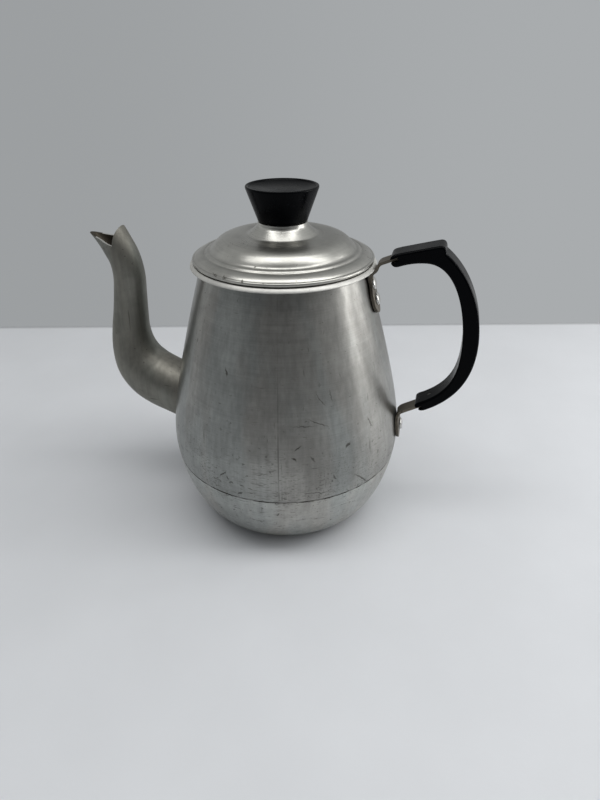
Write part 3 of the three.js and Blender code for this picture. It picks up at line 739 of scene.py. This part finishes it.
def on_spline(points, t):
    """A point and direction on a Catmull-Rom curve through points, t counted in points."""
    i = min(int(t), len(points) - 2)
    first = [2 * a - b for a, b in zip(points[0], points[1])]
    last = [2 * a - b for a, b in zip(points[-1], points[-2])]
    ends = [first, *points, last]
    p, q, r, s = (Vector(point) for point in ends[i:i + 4])
    u = t - i
    square = 2 * p - 5 * q + 4 * r - s
    cube = 3 * q - p - 3 * r + s
    place = 0.5 * (2 * q + u * (r - p) + u * u * square + u ** 3 * cube)
    along = 0.5 * ((r - p) + 2 * u * square + 3 * u * u * cube)
    return place, along


def smoothstep(value, low, high):
    """A share that rises smoothly from 0 at low to 1 at high."""
    t = min(max((value - low) / (high - low), 0), 1)
    return t * t * (3 - 2 * t)


class COFFEEPOT_OT_spout(PotOperator):
    """Bends the spout, squeezes its beak and cuts its mouth"""
    bl_idname = "coffee_pot.spout"
    bl_label = "Spout"

    ROUND = 64
    STEPS = 5
    BEAK_SQUEEZE = 0.42
    BEAK_START = 10.4
    BEAK_END = 12.1
    MOUTH_FOOT = 145

    def build(self, sizes, colours):
        count = (len(SPOUT_STATIONS) - 1) * self.STEPS
        stations = []
        for i in range(count + 1):
            place, along = on_spline(SPOUT_STATIONS, i / self.STEPS)
            centre = Vector((place[0], 0, place[1])) * MM
            stations.append((centre, math.atan2(along[0], along[1]), place[2], place[2]))
        centre, tilt, radius, _ = stations[0]
        set_down()
        bpy.ops.mesh.primitive_circle_add(
            vertices=self.ROUND, radius=radius * MM, location=centre, rotation=(0, tilt, 0),
        )
        spout = name_new("bent_spout")
        bpy.ops.object.transform_apply(location=True, rotation=True, scale=True)
        bpy.ops.object.mode_set(mode="EDIT")
        bpy.ops.mesh.select_all(action="SELECT")
        pull(stations[1:], stations[0])
        close_up()
        self.squeeze(spout, stations)
        face = spout.data.polygons[0]
        if self.faces_bore(face.center, face.normal):
            bpy.ops.object.mode_set(mode="EDIT")
            bpy.ops.mesh.select_all(action="SELECT")
            bpy.ops.mesh.flip_normals()
        finish(spout, "SOLIDIFY", thickness=sizes.spout_sheet, offset=-1)
        cut(spout, self.mouth())
        cut(spout, self.pot_core(sizes))
        soften(spout, 0.3, 3, 55)
        smooth(spout)
        line_inside(spout, self.faces_bore)
        for face in spout.data.polygons:
            if self.on_mouth_edge(face.center, face.normal):
                face.material_index = 2
        dull = metal("drawn aluminium, dull", paint(colours, "spout"), 0.52, soil=0.8, pits=0.7, grain=0.0,
                     brush=0.09, streaks=0.12, dents=0.15)
        inner = boiled_aluminium("stained aluminium", linear("#4c473e"))
        worn = metal("worn spout edge", paint(colours, "rim"), 0.5, soil=0.6, pits=0.6, grain=0.0)
        settle(spout, "pot", "spout", "spout_aluminium", dull, inner, worn)

    def squeeze(self, spout, stations):
        """Draws the front of the rings together in Y towards the mouth, which makes the beak."""
        for point in spout.data.vertices:
            from_rings = [(point.co - centre).length for centre, *_ in stations]
            on_ring = [abs(away - ring[2] * MM) < 0.01 * MM for away, ring in zip(from_rings, stations)]
            nearest = min(range(len(stations)), key=lambda i: from_rings[i] if on_ring[i] else 1)
            centre, tilt, radius, _ = stations[nearest]
            across = Vector((math.cos(tilt), 0, -math.sin(tilt)))
            front = smoothstep(-(point.co - centre).dot(across) / (radius * MM), -0.1, 0.45)
            near_mouth = smoothstep(nearest / self.STEPS, self.BEAK_START, self.BEAK_END)
            point.co.y *= 1 - self.BEAK_SQUEEZE * front * near_mouth

    def mouth(self):
        """What is cut away at the mouth: a level front lip, a notch at each side and a pointed hood."""
        outline = path(
            (-112, 153), ((-98, 148.4), (-92.6, 147.6), 10), (-89.1, 146.2),
            ((-88.7, 151), (-85.8, 156.3), 8), (-82, 172), (-112, 172),
        )
        return slab("mouth_cut", outline, -20, 20)

    def pot_core(self, sizes):
        """The pot's body as a solid, a little smaller, so that the spout ends inside the wall's sheet."""
        belly, neck = wall_curves(sizes)
        depth = 0.4
        outline = [(0, 1), *wall(belly, 0.1, 1, 16, depth), *wall(neck, 0, 0.9, 24, depth)[1:]]
        return turn("pot_core", [*outline, (0, outline[-1][1])], WALL_SIDES)

    def outward(self, centre):
        """The direction from the spout's middle line to a place on its wall."""
        count = (len(SPOUT_STATIONS) - 1) * 4
        axis = min((on_spline(SPOUT_STATIONS, i / 4)[0] for i in range(count + 1)),
                   key=lambda p: (p[0] * MM - centre.x) ** 2 + (p[1] * MM - centre.z) ** 2)
        return (centre - Vector((axis[0], 0, axis[1])) * MM).normalized()

    def faces_bore(self, centre, normal):
        """Whether a face of the spout looks into its bore."""
        return normal.dot(self.outward(centre)) < 0

    def on_mouth_edge(self, centre, normal):
        """Whether a face is the cut edge of the spout's mouth."""
        is_edge = abs(normal.dot(self.outward(centre))) < 0.6
        return is_edge and normal.z > 0.2 and centre.z > self.MOUTH_FOOT * MM


def strap_rows(sizes, low, high, count=12):
    """The middle of a strap that stands off the wall, in places from low to high."""
    rows = []
    for i in range(count + 1):
        place, outward = wall_at(sizes, low + (high - low) * i / count)
        rows.append(place + outward * (STAND_OFF + sizes.strap_sheet / MM / 2))
    return rows


def upright(end):
    """The direction square to a handle end's tang, in the handle's plane."""
    return Vector((-end[1].y, end[1].x))


def in_handle(end, depth, rise=0.0):
    """A point in a handle end: depth along its tang and rise above it."""
    return end[0] + end[1] * depth + upright(end) * rise


class COFFEEPOT_OT_brackets(PotOperator):
    """Bends the two straps that hold the handle"""
    bl_idname = "coffee_pot.brackets"
    bl_label = "Brackets"

    COLUMNS = 6

    def build(self, sizes, colours):
        upper = path(
            *strap_rows(sizes, UPPER_FOOT, 136.9), ((43.9, 139.2), (45.6, 140.7), 5),
            ((46.9, 141.6), (47.2, 143), 4), ((47.5, 144.6), in_handle(UPPER_END, -3.8), 6),
            *[in_handle(UPPER_END, depth) for depth in (-2, 0, 3, 6, 8.2)],
        )
        lower = path(
            *strap_rows(sizes, LOWER_FOOT, 61.4), (in_handle(LOWER_END, -10), in_handle(LOWER_END, -7), 8),
            *[in_handle(LOWER_END, depth) for depth in (-4, 0, 4, 8, 11.7)],
        )
        tarnished = metal("tarnished aluminium sheet", paint(colours, "strap"), 0.48, soil=0.9, pits=1.0,
                          grain=0.0, dents=0.15)
        for name, node, middle, shoulders in (
            ("upper_strap", "upper_bracket", upper, (129, 136)),
            ("lower_strap", "lower_bracket", lower, (61, 64.5)),
        ):
            strap = self.strap(name, middle, shoulders, sizes)
            settle(strap, "pot", node, "strap_aluminium", tarnished)

    def strap(self, name, middle, shoulders, sizes):
        """A strip with a round foot, drawn in at its shoulders to the width of the tang."""
        half = sizes.strap_width / MM / 2
        tang = sizes.tang_width / MM / 2
        middle = [Vector(p) for p in middle]
        foot = middle[0]
        rows = []
        for degrees in range(0, 90, 12):
            depth = half * (1 - math.cos(math.radians(degrees)))
            width = max(half * math.sin(math.radians(degrees)), 0.05)
            rows.append((foot + (middle[3] - foot).normalized() * depth, width))
        start = rows[-1][0].y
        for place in middle:
            if place.y > start + 0.5:
                share = smoothstep(place.y, *shoulders)
                rows.append((place, half + (tang - half) * share))
        rows[-1] = (rows[-1][0], tang * 0.8)
        first, width = rows[0]
        piece = draw(name, [(first.x, first.y)], -width)
        for _ in range(self.COLUMNS):
            bpy.ops.mesh.extrude_vertices_move(
                TRANSFORM_OT_translate={"value": (0, 2 * width / self.COLUMNS * MM, 0)})
        bpy.ops.mesh.select_all(action="SELECT")
        stations = [(Vector((place.x, 0, place.y)) * MM, 0, width, width) for place, width in rows]
        pull([(c, 0, w, 1) for c, _, w, _ in stations[1:]], (stations[0][0], 0, width, 1))
        bpy.ops.mesh.select_all(action="SELECT")
        bpy.ops.mesh.remove_doubles(threshold=0.03 * MM)
        close_up()
        # The strap is bent round the pot below its shoulders
        for point in piece.data.vertices:
            height = point.co.z / MM
            round_wall = wall_at(sizes, height)[0].x * MM
            drop = round_wall - math.sqrt(round_wall ** 2 - point.co.y ** 2)
            point.co.x -= drop * (1 - smoothstep(height, *shoulders))
        finish(piece, "SOLIDIFY", thickness=sizes.strap_sheet, offset=0)
        soften(piece, 0.22, 2, 50)
        return smooth(piece)


class COFFEEPOT_OT_rivets(PotOperator):
    """Turns one rivet and copies it to its three places"""
    bl_idname = "coffee_pot.rivets"
    bl_label = "Rivets"

    HEAD = 1.3
    TAIL_RADIUS = 2.8
    TAIL = 1.1
    SHANK = 1.8

    def build(self, sizes, colours):
        head = sizes.rivet_radius / MM
        sheet = sizes.strap_sheet / MM
        grip = sheet + STAND_OFF + sizes.sheet / MM + 0.9
        tail = -grip - self.TAIL
        wide = self.TAIL_RADIUS
        profile = path(
            (0, tail), (wide - 0.5, tail), ((wide, tail), (wide, tail + 0.6), 4), (wide, -grip),
            (self.SHANK, -grip), (self.SHANK, -0.1), (head - 0.15, -0.1), (head, 0.05),
            ((head, self.HEAD * 0.75), (head * 0.6, self.HEAD), (0, self.HEAD), 12),
        )
        tone = paint(colours, "rivet")
        bright = metal("headed aluminium rivet", tone, 0.3, soil=0.5, grain=0.0, dents=0.05)
        pattern = turn("rivet_pattern", profile, 40)
        for name, height in RIVETS.items():
            take(pattern)
            bpy.ops.object.duplicate()
            rivet = name_new(name + "_turned")
            place, outward = wall_at(sizes, height)
            put(rivet, place + outward * (STAND_OFF + sheet + 0.1), outward)
            settle(rivet, "pot", name, "rivet_aluminium", bright)
        bpy.data.objects.remove(pattern)


class COFFEEPOT_OT_handle(PotOperator):
    """Cuts out the handle, rounds its edges and forks its ends"""
    bl_idname = "coffee_pot.handle"
    bl_label = "Handle"

    def build(self, sizes, colours):
        half = sizes.grip_width / MM / 2
        outline = [
            *path(
                (53.25, 146.9), ((52.2, 149.8), (55.2, 150.77), 8), (57, 151.35), (66, 153.7),
                (74.6, 155.85), ((77.9, 156.7), (78.3, 153.2), 7), (78.4, 152.6),
                ((91.7, 142.6), (98.4, 124.3), (98.4, 107.5), 30),
                ((98.4, 91.5), (92.3, 78.5), (77.2, 69.9), 26),
            ),
            *curve((76.3, 69.45), (74, 68.3), (72, 69.95)), *curve((72, 69.95), (70, 71.6), (72.1, 73.08)),
            *path(
                (72.7, 73.5), ((88.8, 81.7), (90.7, 93), (90.7, 106), 24),
                ((90.7, 121.8), (85.1, 147.4), (70, 147.4), 28), ((63.5, 147.4), (57.4, 145), 6),
            ),
            *curve((57.2, 144.94), (54.3, 144), (53.25, 146.9))[:-1],
        ]
        grip = slab("moulded_handle", outline, -half, half)
        take(grip)
        bpy.ops.object.mode_set(mode="EDIT")
        self.select_sharp(grip, math.radians(50))
        bpy.ops.mesh.bevel(
            offset=sizes.grip_edge, segments=4, profile=0.5, affect="EDGES", clamp_overlap=False,
        )
        close_up()
        slot = sizes.strap_sheet / MM + 0.5
        fork = (slot, 2 * half + 2, FORK_DEPTH + 4)
        for end, depth in ((UPPER_END, 8.5), (LOWER_END, 12)):
            pocket = (slot - 0.1, sizes.tang_width / MM + 0.6, depth - 2)
            cut(grip, block("fork", fork, in_handle(end, FORK_DEPTH / 2 - 2), end[1]))
            cut(grip, block("pocket", pocket, in_handle(end, depth / 2 + 1.5), end[1]))
        for end, depth, long, rise in (
            (UPPER_END, UPPER_PIN_DEPTH, 7.3, -2.35), (LOWER_END, LOWER_PIN_DEPTH, 7.6, 2.2),
        ):
            place = in_handle(end, depth, rise)
            cut(grip, bar("pin_hole", PIN_RADIUS + 0.1, long, place, upright(end)))
        smooth(grip)
        black = phenolic("pressed phenolic, black", paint(colours, "resin"))
        settle(grip, "pot", "handle_grip", "black_bakelite", black)

    def select_sharp(self, piece, angle):
        """Selects the edges that are sharper than an angle and no others."""
        mesh = bmesh.from_edit_mesh(piece.data)
        for face in mesh.faces:
            face.select_set(False)
        for edge in mesh.edges:
            edge.select_set(False)
        for edge in mesh.edges:
            if len(edge.link_faces) == 2 and edge.calc_face_angle() > angle:
                edge.select_set(True)
        bmesh.update_edit_mesh(piece.data)


class COFFEEPOT_OT_handle_pins(PotOperator):
    """Turns the two pins that hold the tangs in the handle"""
    bl_idname = "coffee_pot.handle_pins"
    bl_label = "Handle pins"

    def build(self, sizes, colours):
        steel = metal("darkened steel pin", scaled(paint(colours, "steel"), 0.3), 0.5, soil=0.4, grain=0.0)
        for name, node, end, depth, low, high in (
            ("upper_cross_pin", "upper_handle_pin", UPPER_END, UPPER_PIN_DEPTH, -3.2, 1.3),
            ("lower_cross_pin", "lower_handle_pin", LOWER_END, LOWER_PIN_DEPTH, -1.6, 3.1),
        ):
            reach = (high - low) / 2
            corner = PIN_RADIUS - 0.3
            foot = curve((corner, -reach), (PIN_RADIUS, -reach), (PIN_RADIUS, 0.3 - reach), steps=3)
            head = curve((PIN_RADIUS, reach - 0.3), (PIN_RADIUS, reach), (corner, reach), steps=3)
            profile = [(0, -reach), *foot, *head, (0, reach)]
            pin = turn(name, profile, 24)
            put(pin, in_handle(end, depth, (low + high) / 2), upright(end))
            settle(pin, "pot", node, "steel", steel)


class COFFEEPOT_OT_lid(PotOperator):
    """Turns the lid and the ring under it"""
    bl_idname = "coffee_pot.lid"
    bl_label = "Lid and its ring"

    NECK_TOP = 162.2
    HEM = (43.9, 145.1)
    HEM_RADIUS = 0.95
    INNER_RADIUS = 42.6
    RING_TOP = 146.9

    def build(self, sizes, colours):
        top = self.NECK_TOP
        outside = path(
            (HOLE_RADIUS, top), (11.6, top), ((12.1, top), (12.1, top - 0.4), 3),
            ((12.1, 160.7), (12.75, 160), 6), ((14.9, 158), (16.9, 156.45), 10),
            ((17.6, 156), (19.6, 156.15), 6), ((29.3, 156), (32.4, 153), 24),
            ((33.9, 151.8), (34.9, 150.2), 8), ((35.6, 149.3), (36.4, 149.3), 6),
            ((37.5, 149.2), (38, 148.4), 6), ((38.5, 147.9), (39.2, 148.2), 5),
            ((42.3, 147.6), (43.6, 146.05), 10),
            *arc(self.HEM, self.HEM_RADIUS, 72, -171, 14),
        )
        inside = path(
            (42.5, 146.1), (40.5, 146.75), (38.4, 147.2), (36.6, 147.7), (35.1, 148.2),
            ((33.4, 150.6), (32, 151.9), 6), ((29.4, 154.6), (16.6, 155.3), 20),
            ((14.2, 156.4), (12, 158.6), (11, 160.2), 10), (10.2, top - 1), (HOLE_RADIUS, top - 1),
            (HOLE_RADIUS, top),
        )
        lid = turn("spun_lid", [*outside, *inside], 144)
        inner_radius = self.INNER_RADIUS * MM
        line_inside(lid, lambda centre, normal: normal.z < -0.05 and centre.xy.length < inner_radius)
        flange = self.RING_TOP
        profile = path(
            (36.8, flange), (36.8, flange - 0.8), (39.6, flange - 0.8), (39.6, 138.4), (39.8, 138.2),
            (40.2, 138.2), (40.4, 138.4), (40.4, flange - 1), ((40.4, flange), (39.5, flange), 5),
            (36.8, flange),
        )
        ring = turn("lid_ring", profile, 144)
        spun = metal("spun aluminium, bright", paint(colours, "lid"), 0.31, soil=0.6, pits=0.6, rings=0.006,
                     grain=0.06, dents=0.12, anisotropy=0.4, marks=lid_marks)
        inner = boiled_aluminium("steamed aluminium", linear("#9d9b96"))
        settle(lid, "lid", "lid_cover", "lid_aluminium", spun, inner)
        settle(ring, "lid", "lid_locating_ring", "lid_aluminium", spun)


class COFFEEPOT_OT_knob(PotOperator):
    """Turns the knob"""
    bl_idname = "coffee_pot.knob"
    bl_label = "Knob"

    BORE_RADIUS = 3.9
    BORE_TOP = 171.8

    def build(self, sizes, colours):
        bottom, top = (box[2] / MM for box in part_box("knob"))
        wide = sizes.knob_radius / MM
        profile = path(
            (0, bottom), (11.3, bottom), ((12.1, bottom), (12.2, bottom + 0.7), 5),
            (wide - 0.1, top - 1.1), ((wide + 0.1, top), (wide - 0.7, top), 6),
            ((wide - 1.4, top), (wide - 1.9, top - 0.7), 6),
            ((10, top - 2.1), (0, top - 2.2), 14),
        )
        knob = turn("turned_knob", profile)
        cut(knob, bar("bore", self.BORE_RADIUS, 2 * (self.BORE_TOP - bottom), (0, bottom), (0, 1), 40))
        smooth(knob)
        black = phenolic("turned phenolic, black", paint(colours, "resin"))
        settle(knob, "lid", "knob", "black_bakelite", black)


class COFFEEPOT_OT_knob_fixing(PotOperator):
    """Turns the bush in the knob, the washer and the screw that holds them"""
    bl_idname = "coffee_pot.knob_fixing"
    bl_label = "Knob fixing"

    def build(self, sizes, colours):
        steel = metal("turned steel", paint(colours, "steel"), 0.3, soil=0.5, rings=0.006)
        brass = metal("turned brass", paint(colours, "brass"), 0.28, soil=0.4, rings=0.006)
        bush = self.tube("knob_bush", 3.6, 162.8, 171.5, 40)
        settle(bush, "lid", "knob_insert", "brass", brass)
        washer = self.tube("round_washer", 5.5, 160.1, 160.9, 48)
        settle(washer, "lid", "knob_washer", "steel", steel)
        screw = turn("slotted_screw", path(
            (0, 157.6), (2.5, 157.6), ((3.6, 157.6), (3.6, 158.6), 6), (3.6, 159.6), (3.4, 159.8),
            (2, 159.8), (2, 170), (1.5, 170.5), (0, 170.5)), 48)
        cut(screw, block("slot", (9, 1, 2), (0, 157.4), (0, 1)))
        soften(screw, 0.1, 2, 60)
        smooth(screw)
        settle(screw, "lid", "knob_screw", "steel", steel)

    def tube(self, name, outer, low, high, sides):
        """A tube round the screw, with chamfered outer edges."""
        edge = 0.2
        return turn(name, [
            (HOLE_RADIUS, low), (outer - edge, low), (outer, low + edge), (outer, high - edge),
            (outer - edge, high), (HOLE_RADIUS, high), (HOLE_RADIUS, low)], sides)


# The studio

VIEW = (-0.242, 0.970)
SIDE = (0.970, 0.242)
EYE = (78.7, -283.8, 234.2)
PITCH = 30.30
ROLL = -0.40
LENS = 27.22
FLOOR_BACK = 251


class COFFEEPOT_OT_stage(PotOperator):
    """Lays the table top and sets the soft lights, the background and the camera"""
    bl_idname = "coffee_pot.stage"
    bl_label = "Studio"

    def build(self, sizes, colours):
        self.lay_floor(colours)
        self.light("overhead_softbox", (0.128, -0.101, 0.85), (0.031, -0.125, 0.05), (0.26, 1.5), 4.7)
        passing = bpy.data.collections.new("lets_side_light_pass")
        passing.objects.link(bpy.data.objects["moulded_handle"])
        passing.collection_objects[0].light_linking.link_state = "EXCLUDE"
        for name, degrees, wide, power in (
            ("window", 93, 0.38, 0.68), ("window_bar_front", 83, 0.07, 0.42),
            ("window_bar_back", 102, 0.06, 0.3),
        ):
            turned = math.radians(degrees)
            place = Vector((*SIDE, 0)) * math.sin(turned) - Vector((*VIEW, 0)) * math.cos(turned)
            lamp = self.light(name, place * 0.62 + Vector((0, 0, 0.25)), (0, 0, 0.15), (wide, 0.34), power)
            lamp.light_linking.blocker_collection = passing
        self.set_world(colours)
        self.set_camera()
        bpy.context.scene.view_settings.view_transform = "Standard"

    def lay_floor(self, colours):
        """A table top that ends in a joint with the background behind the pot."""
        set_down()
        deep = 6000
        bpy.ops.mesh.primitive_plane_add(size=MM)
        floor = name_new("table_top")
        floor.scale = (8000, deep, 1)
        floor.rotation_euler = (0, 0, math.atan2(VIEW[1], VIEW[0]) - math.pi / 2)
        floor.location = Vector((*VIEW, 0)) * (FLOOR_BACK - deep / 2) * MM
        bpy.ops.object.transform_apply(location=True, rotation=True, scale=True)
        floor.data.materials.append(painted_board("satin white paint", paint(colours, "floor")))

    def light(self, name, place, target, size, power):
        """A rectangular soft light that faces a target. Places and sizes are in metres, power in watts."""
        set_down()
        turned = (Vector(target) - Vector(place)).to_track_quat("-Z", "Y").to_euler()
        bpy.ops.object.light_add(type="AREA", location=place, rotation=turned)
        lamp = bpy.context.active_object
        lamp.name = name
        lamp.data.shape = "RECTANGLE"
        lamp.data.size, lamp.data.size_y = size
        lamp.data.energy = power
        lamp.visible_camera = False
        return lamp

    def set_world(self, colours):
        """A pale room: light from above, a grey wall behind the pot, painted darker on the left, and a dim
        room behind the camera.
        """
        world = bpy.data.worlds.new("plain_room")
        bpy.context.scene.world = world
        world.use_nodes = True
        world.node_tree.nodes.clear()
        add = partial(add_node, world.node_tree)
        way = add("TexCoord", out="Generated")
        back = add("VectorMath", way, (*VIEW, 0.0), out="Value", operation="DOT_PRODUCT")
        side = add("VectorMath", way, (*SIDE, 0.0), out="Value", operation="DOT_PRODUCT")
        up = add("SeparateXYZ", way, out="Z")
        # The wall behind is lightest near the table
        behind = add("MapRange", back, -0.1, 0.7, 0.04, 0.4, **EASED)
        near_table = add("MapRange", up, 0.15, 0.55, 1.0, 0.38, **EASED)
        behind = add("Math", behind, near_table, operation="MULTIPLY")
        # High up, the room is lighter on the right
        right = add("MapRange", side, 0.0, 0.6, 0.08, 0.42, **EASED)
        left = add("MapRange", side, -0.6, 0.0, 0.2, 0.0, **EASED)
        raised = add("Math", right, left, operation="ADD")
        raised = add("Math", raised, add("MapRange", up, 0.2, 0.5, **EASED), operation="MULTIPLY")
        room = add("Math", behind, raised, operation="ADD")
        for part in (
            add("MapRange", up, 0.5, 0.95, 0.0, 0.15, **EASED),
            add("MapRange", side, 0.5, 0.75, 0.0, 0.2, **EASED),
            add("MapRange", side, -0.95, -0.6, 0.26, 0.0, **EASED),
        ):
            room = add("Math", room, part, operation="ADD")
        room = add("VectorMath", (0.97, 0.99, 1.0), room, operation="MULTIPLY")
        tone = paint(colours, "wall")
        # Painted shade: the wall seen behind the pot is darker towards the left
        wall_shade_spread = add("MapRange", side, -0.4, 0.4, **EASED)
        backdrop_with_painted_shade = add("Mix", {0: wall_shade_spread, 6: scaled(tone, 0.84), 7: tone}, out=2, data_type="RGBA")
        seen = add("LightPath", out="Is Camera Ray")
        shown = add("Mix", {0: seen, 6: room, 7: backdrop_with_painted_shade}, out=2, data_type="RGBA")
        add("OutputWorld", add("Background", shown), out=None)

    def set_camera(self):
        """The camera stands where the photograph was taken from."""
        set_down()
        pitch = math.radians(PITCH)
        ahead = Vector((VIEW[0] * math.cos(pitch), VIEW[1] * math.cos(pitch), -math.sin(pitch)))
        turned = ahead.to_track_quat("-Z", "Y") @ Euler((0, 0, math.radians(ROLL))).to_quaternion()
        bpy.ops.object.camera_add(location=Vector(EYE) * MM, rotation=turned.to_euler())
        camera = bpy.context.active_object
        camera.name = "photo_camera"
        camera.data.lens = LENS
        camera.data.clip_start = 0.01
        camera.data.clip_end = 50
        bpy.context.scene.camera = camera


STEPS = (
    COFFEEPOT_OT_body, COFFEEPOT_OT_spout, COFFEEPOT_OT_brackets, COFFEEPOT_OT_rivets,
    COFFEEPOT_OT_handle, COFFEEPOT_OT_handle_pins, COFFEEPOT_OT_lid, COFFEEPOT_OT_knob,
    COFFEEPOT_OT_knob_fixing, COFFEEPOT_OT_stage,
)


class COFFEEPOT_PT_panel(bpy.types.Panel):
    """Sizes, colours and the steps that build the pot"""
    bl_idname = "COFFEEPOT_PT_panel"
    bl_label = "Coffee pot"
    bl_space_type = "VIEW_3D"
    bl_region_type = "UI"
    bl_category = "Coffee pot"

    def draw(self, context):
        for group in (context.scene.coffee_pot_sizes, context.scene.coffee_pot_colours):
            box = self.layout.box()
            for key in group.bl_rna.properties.keys():
                if key not in ("rna_type", "name"):
                    box.prop(group, key)
        for step in STEPS:
            self.layout.operator(step.bl_idname)


CLASSES = (CoffeePotSizes, CoffeePotColours, *STEPS, COFFEEPOT_PT_panel)


def register():
    for cls in CLASSES:
        bpy.utils.register_class(cls)
    bpy.types.Scene.coffee_pot_sizes = PointerProperty(type=CoffeePotSizes)
    bpy.types.Scene.coffee_pot_colours = PointerProperty(type=CoffeePotColours)


def unregister():
    del bpy.types.Scene.coffee_pot_colours
    del bpy.types.Scene.coffee_pot_sizes
    for cls in reversed(CLASSES):
        bpy.utils.unregister_class(cls)


def main():
    register()
    for step in STEPS:
        group, action = step.bl_idname.split(".")
        getattr(getattr(bpy.ops, group), action)()


if __name__ == "__main__":
    main()
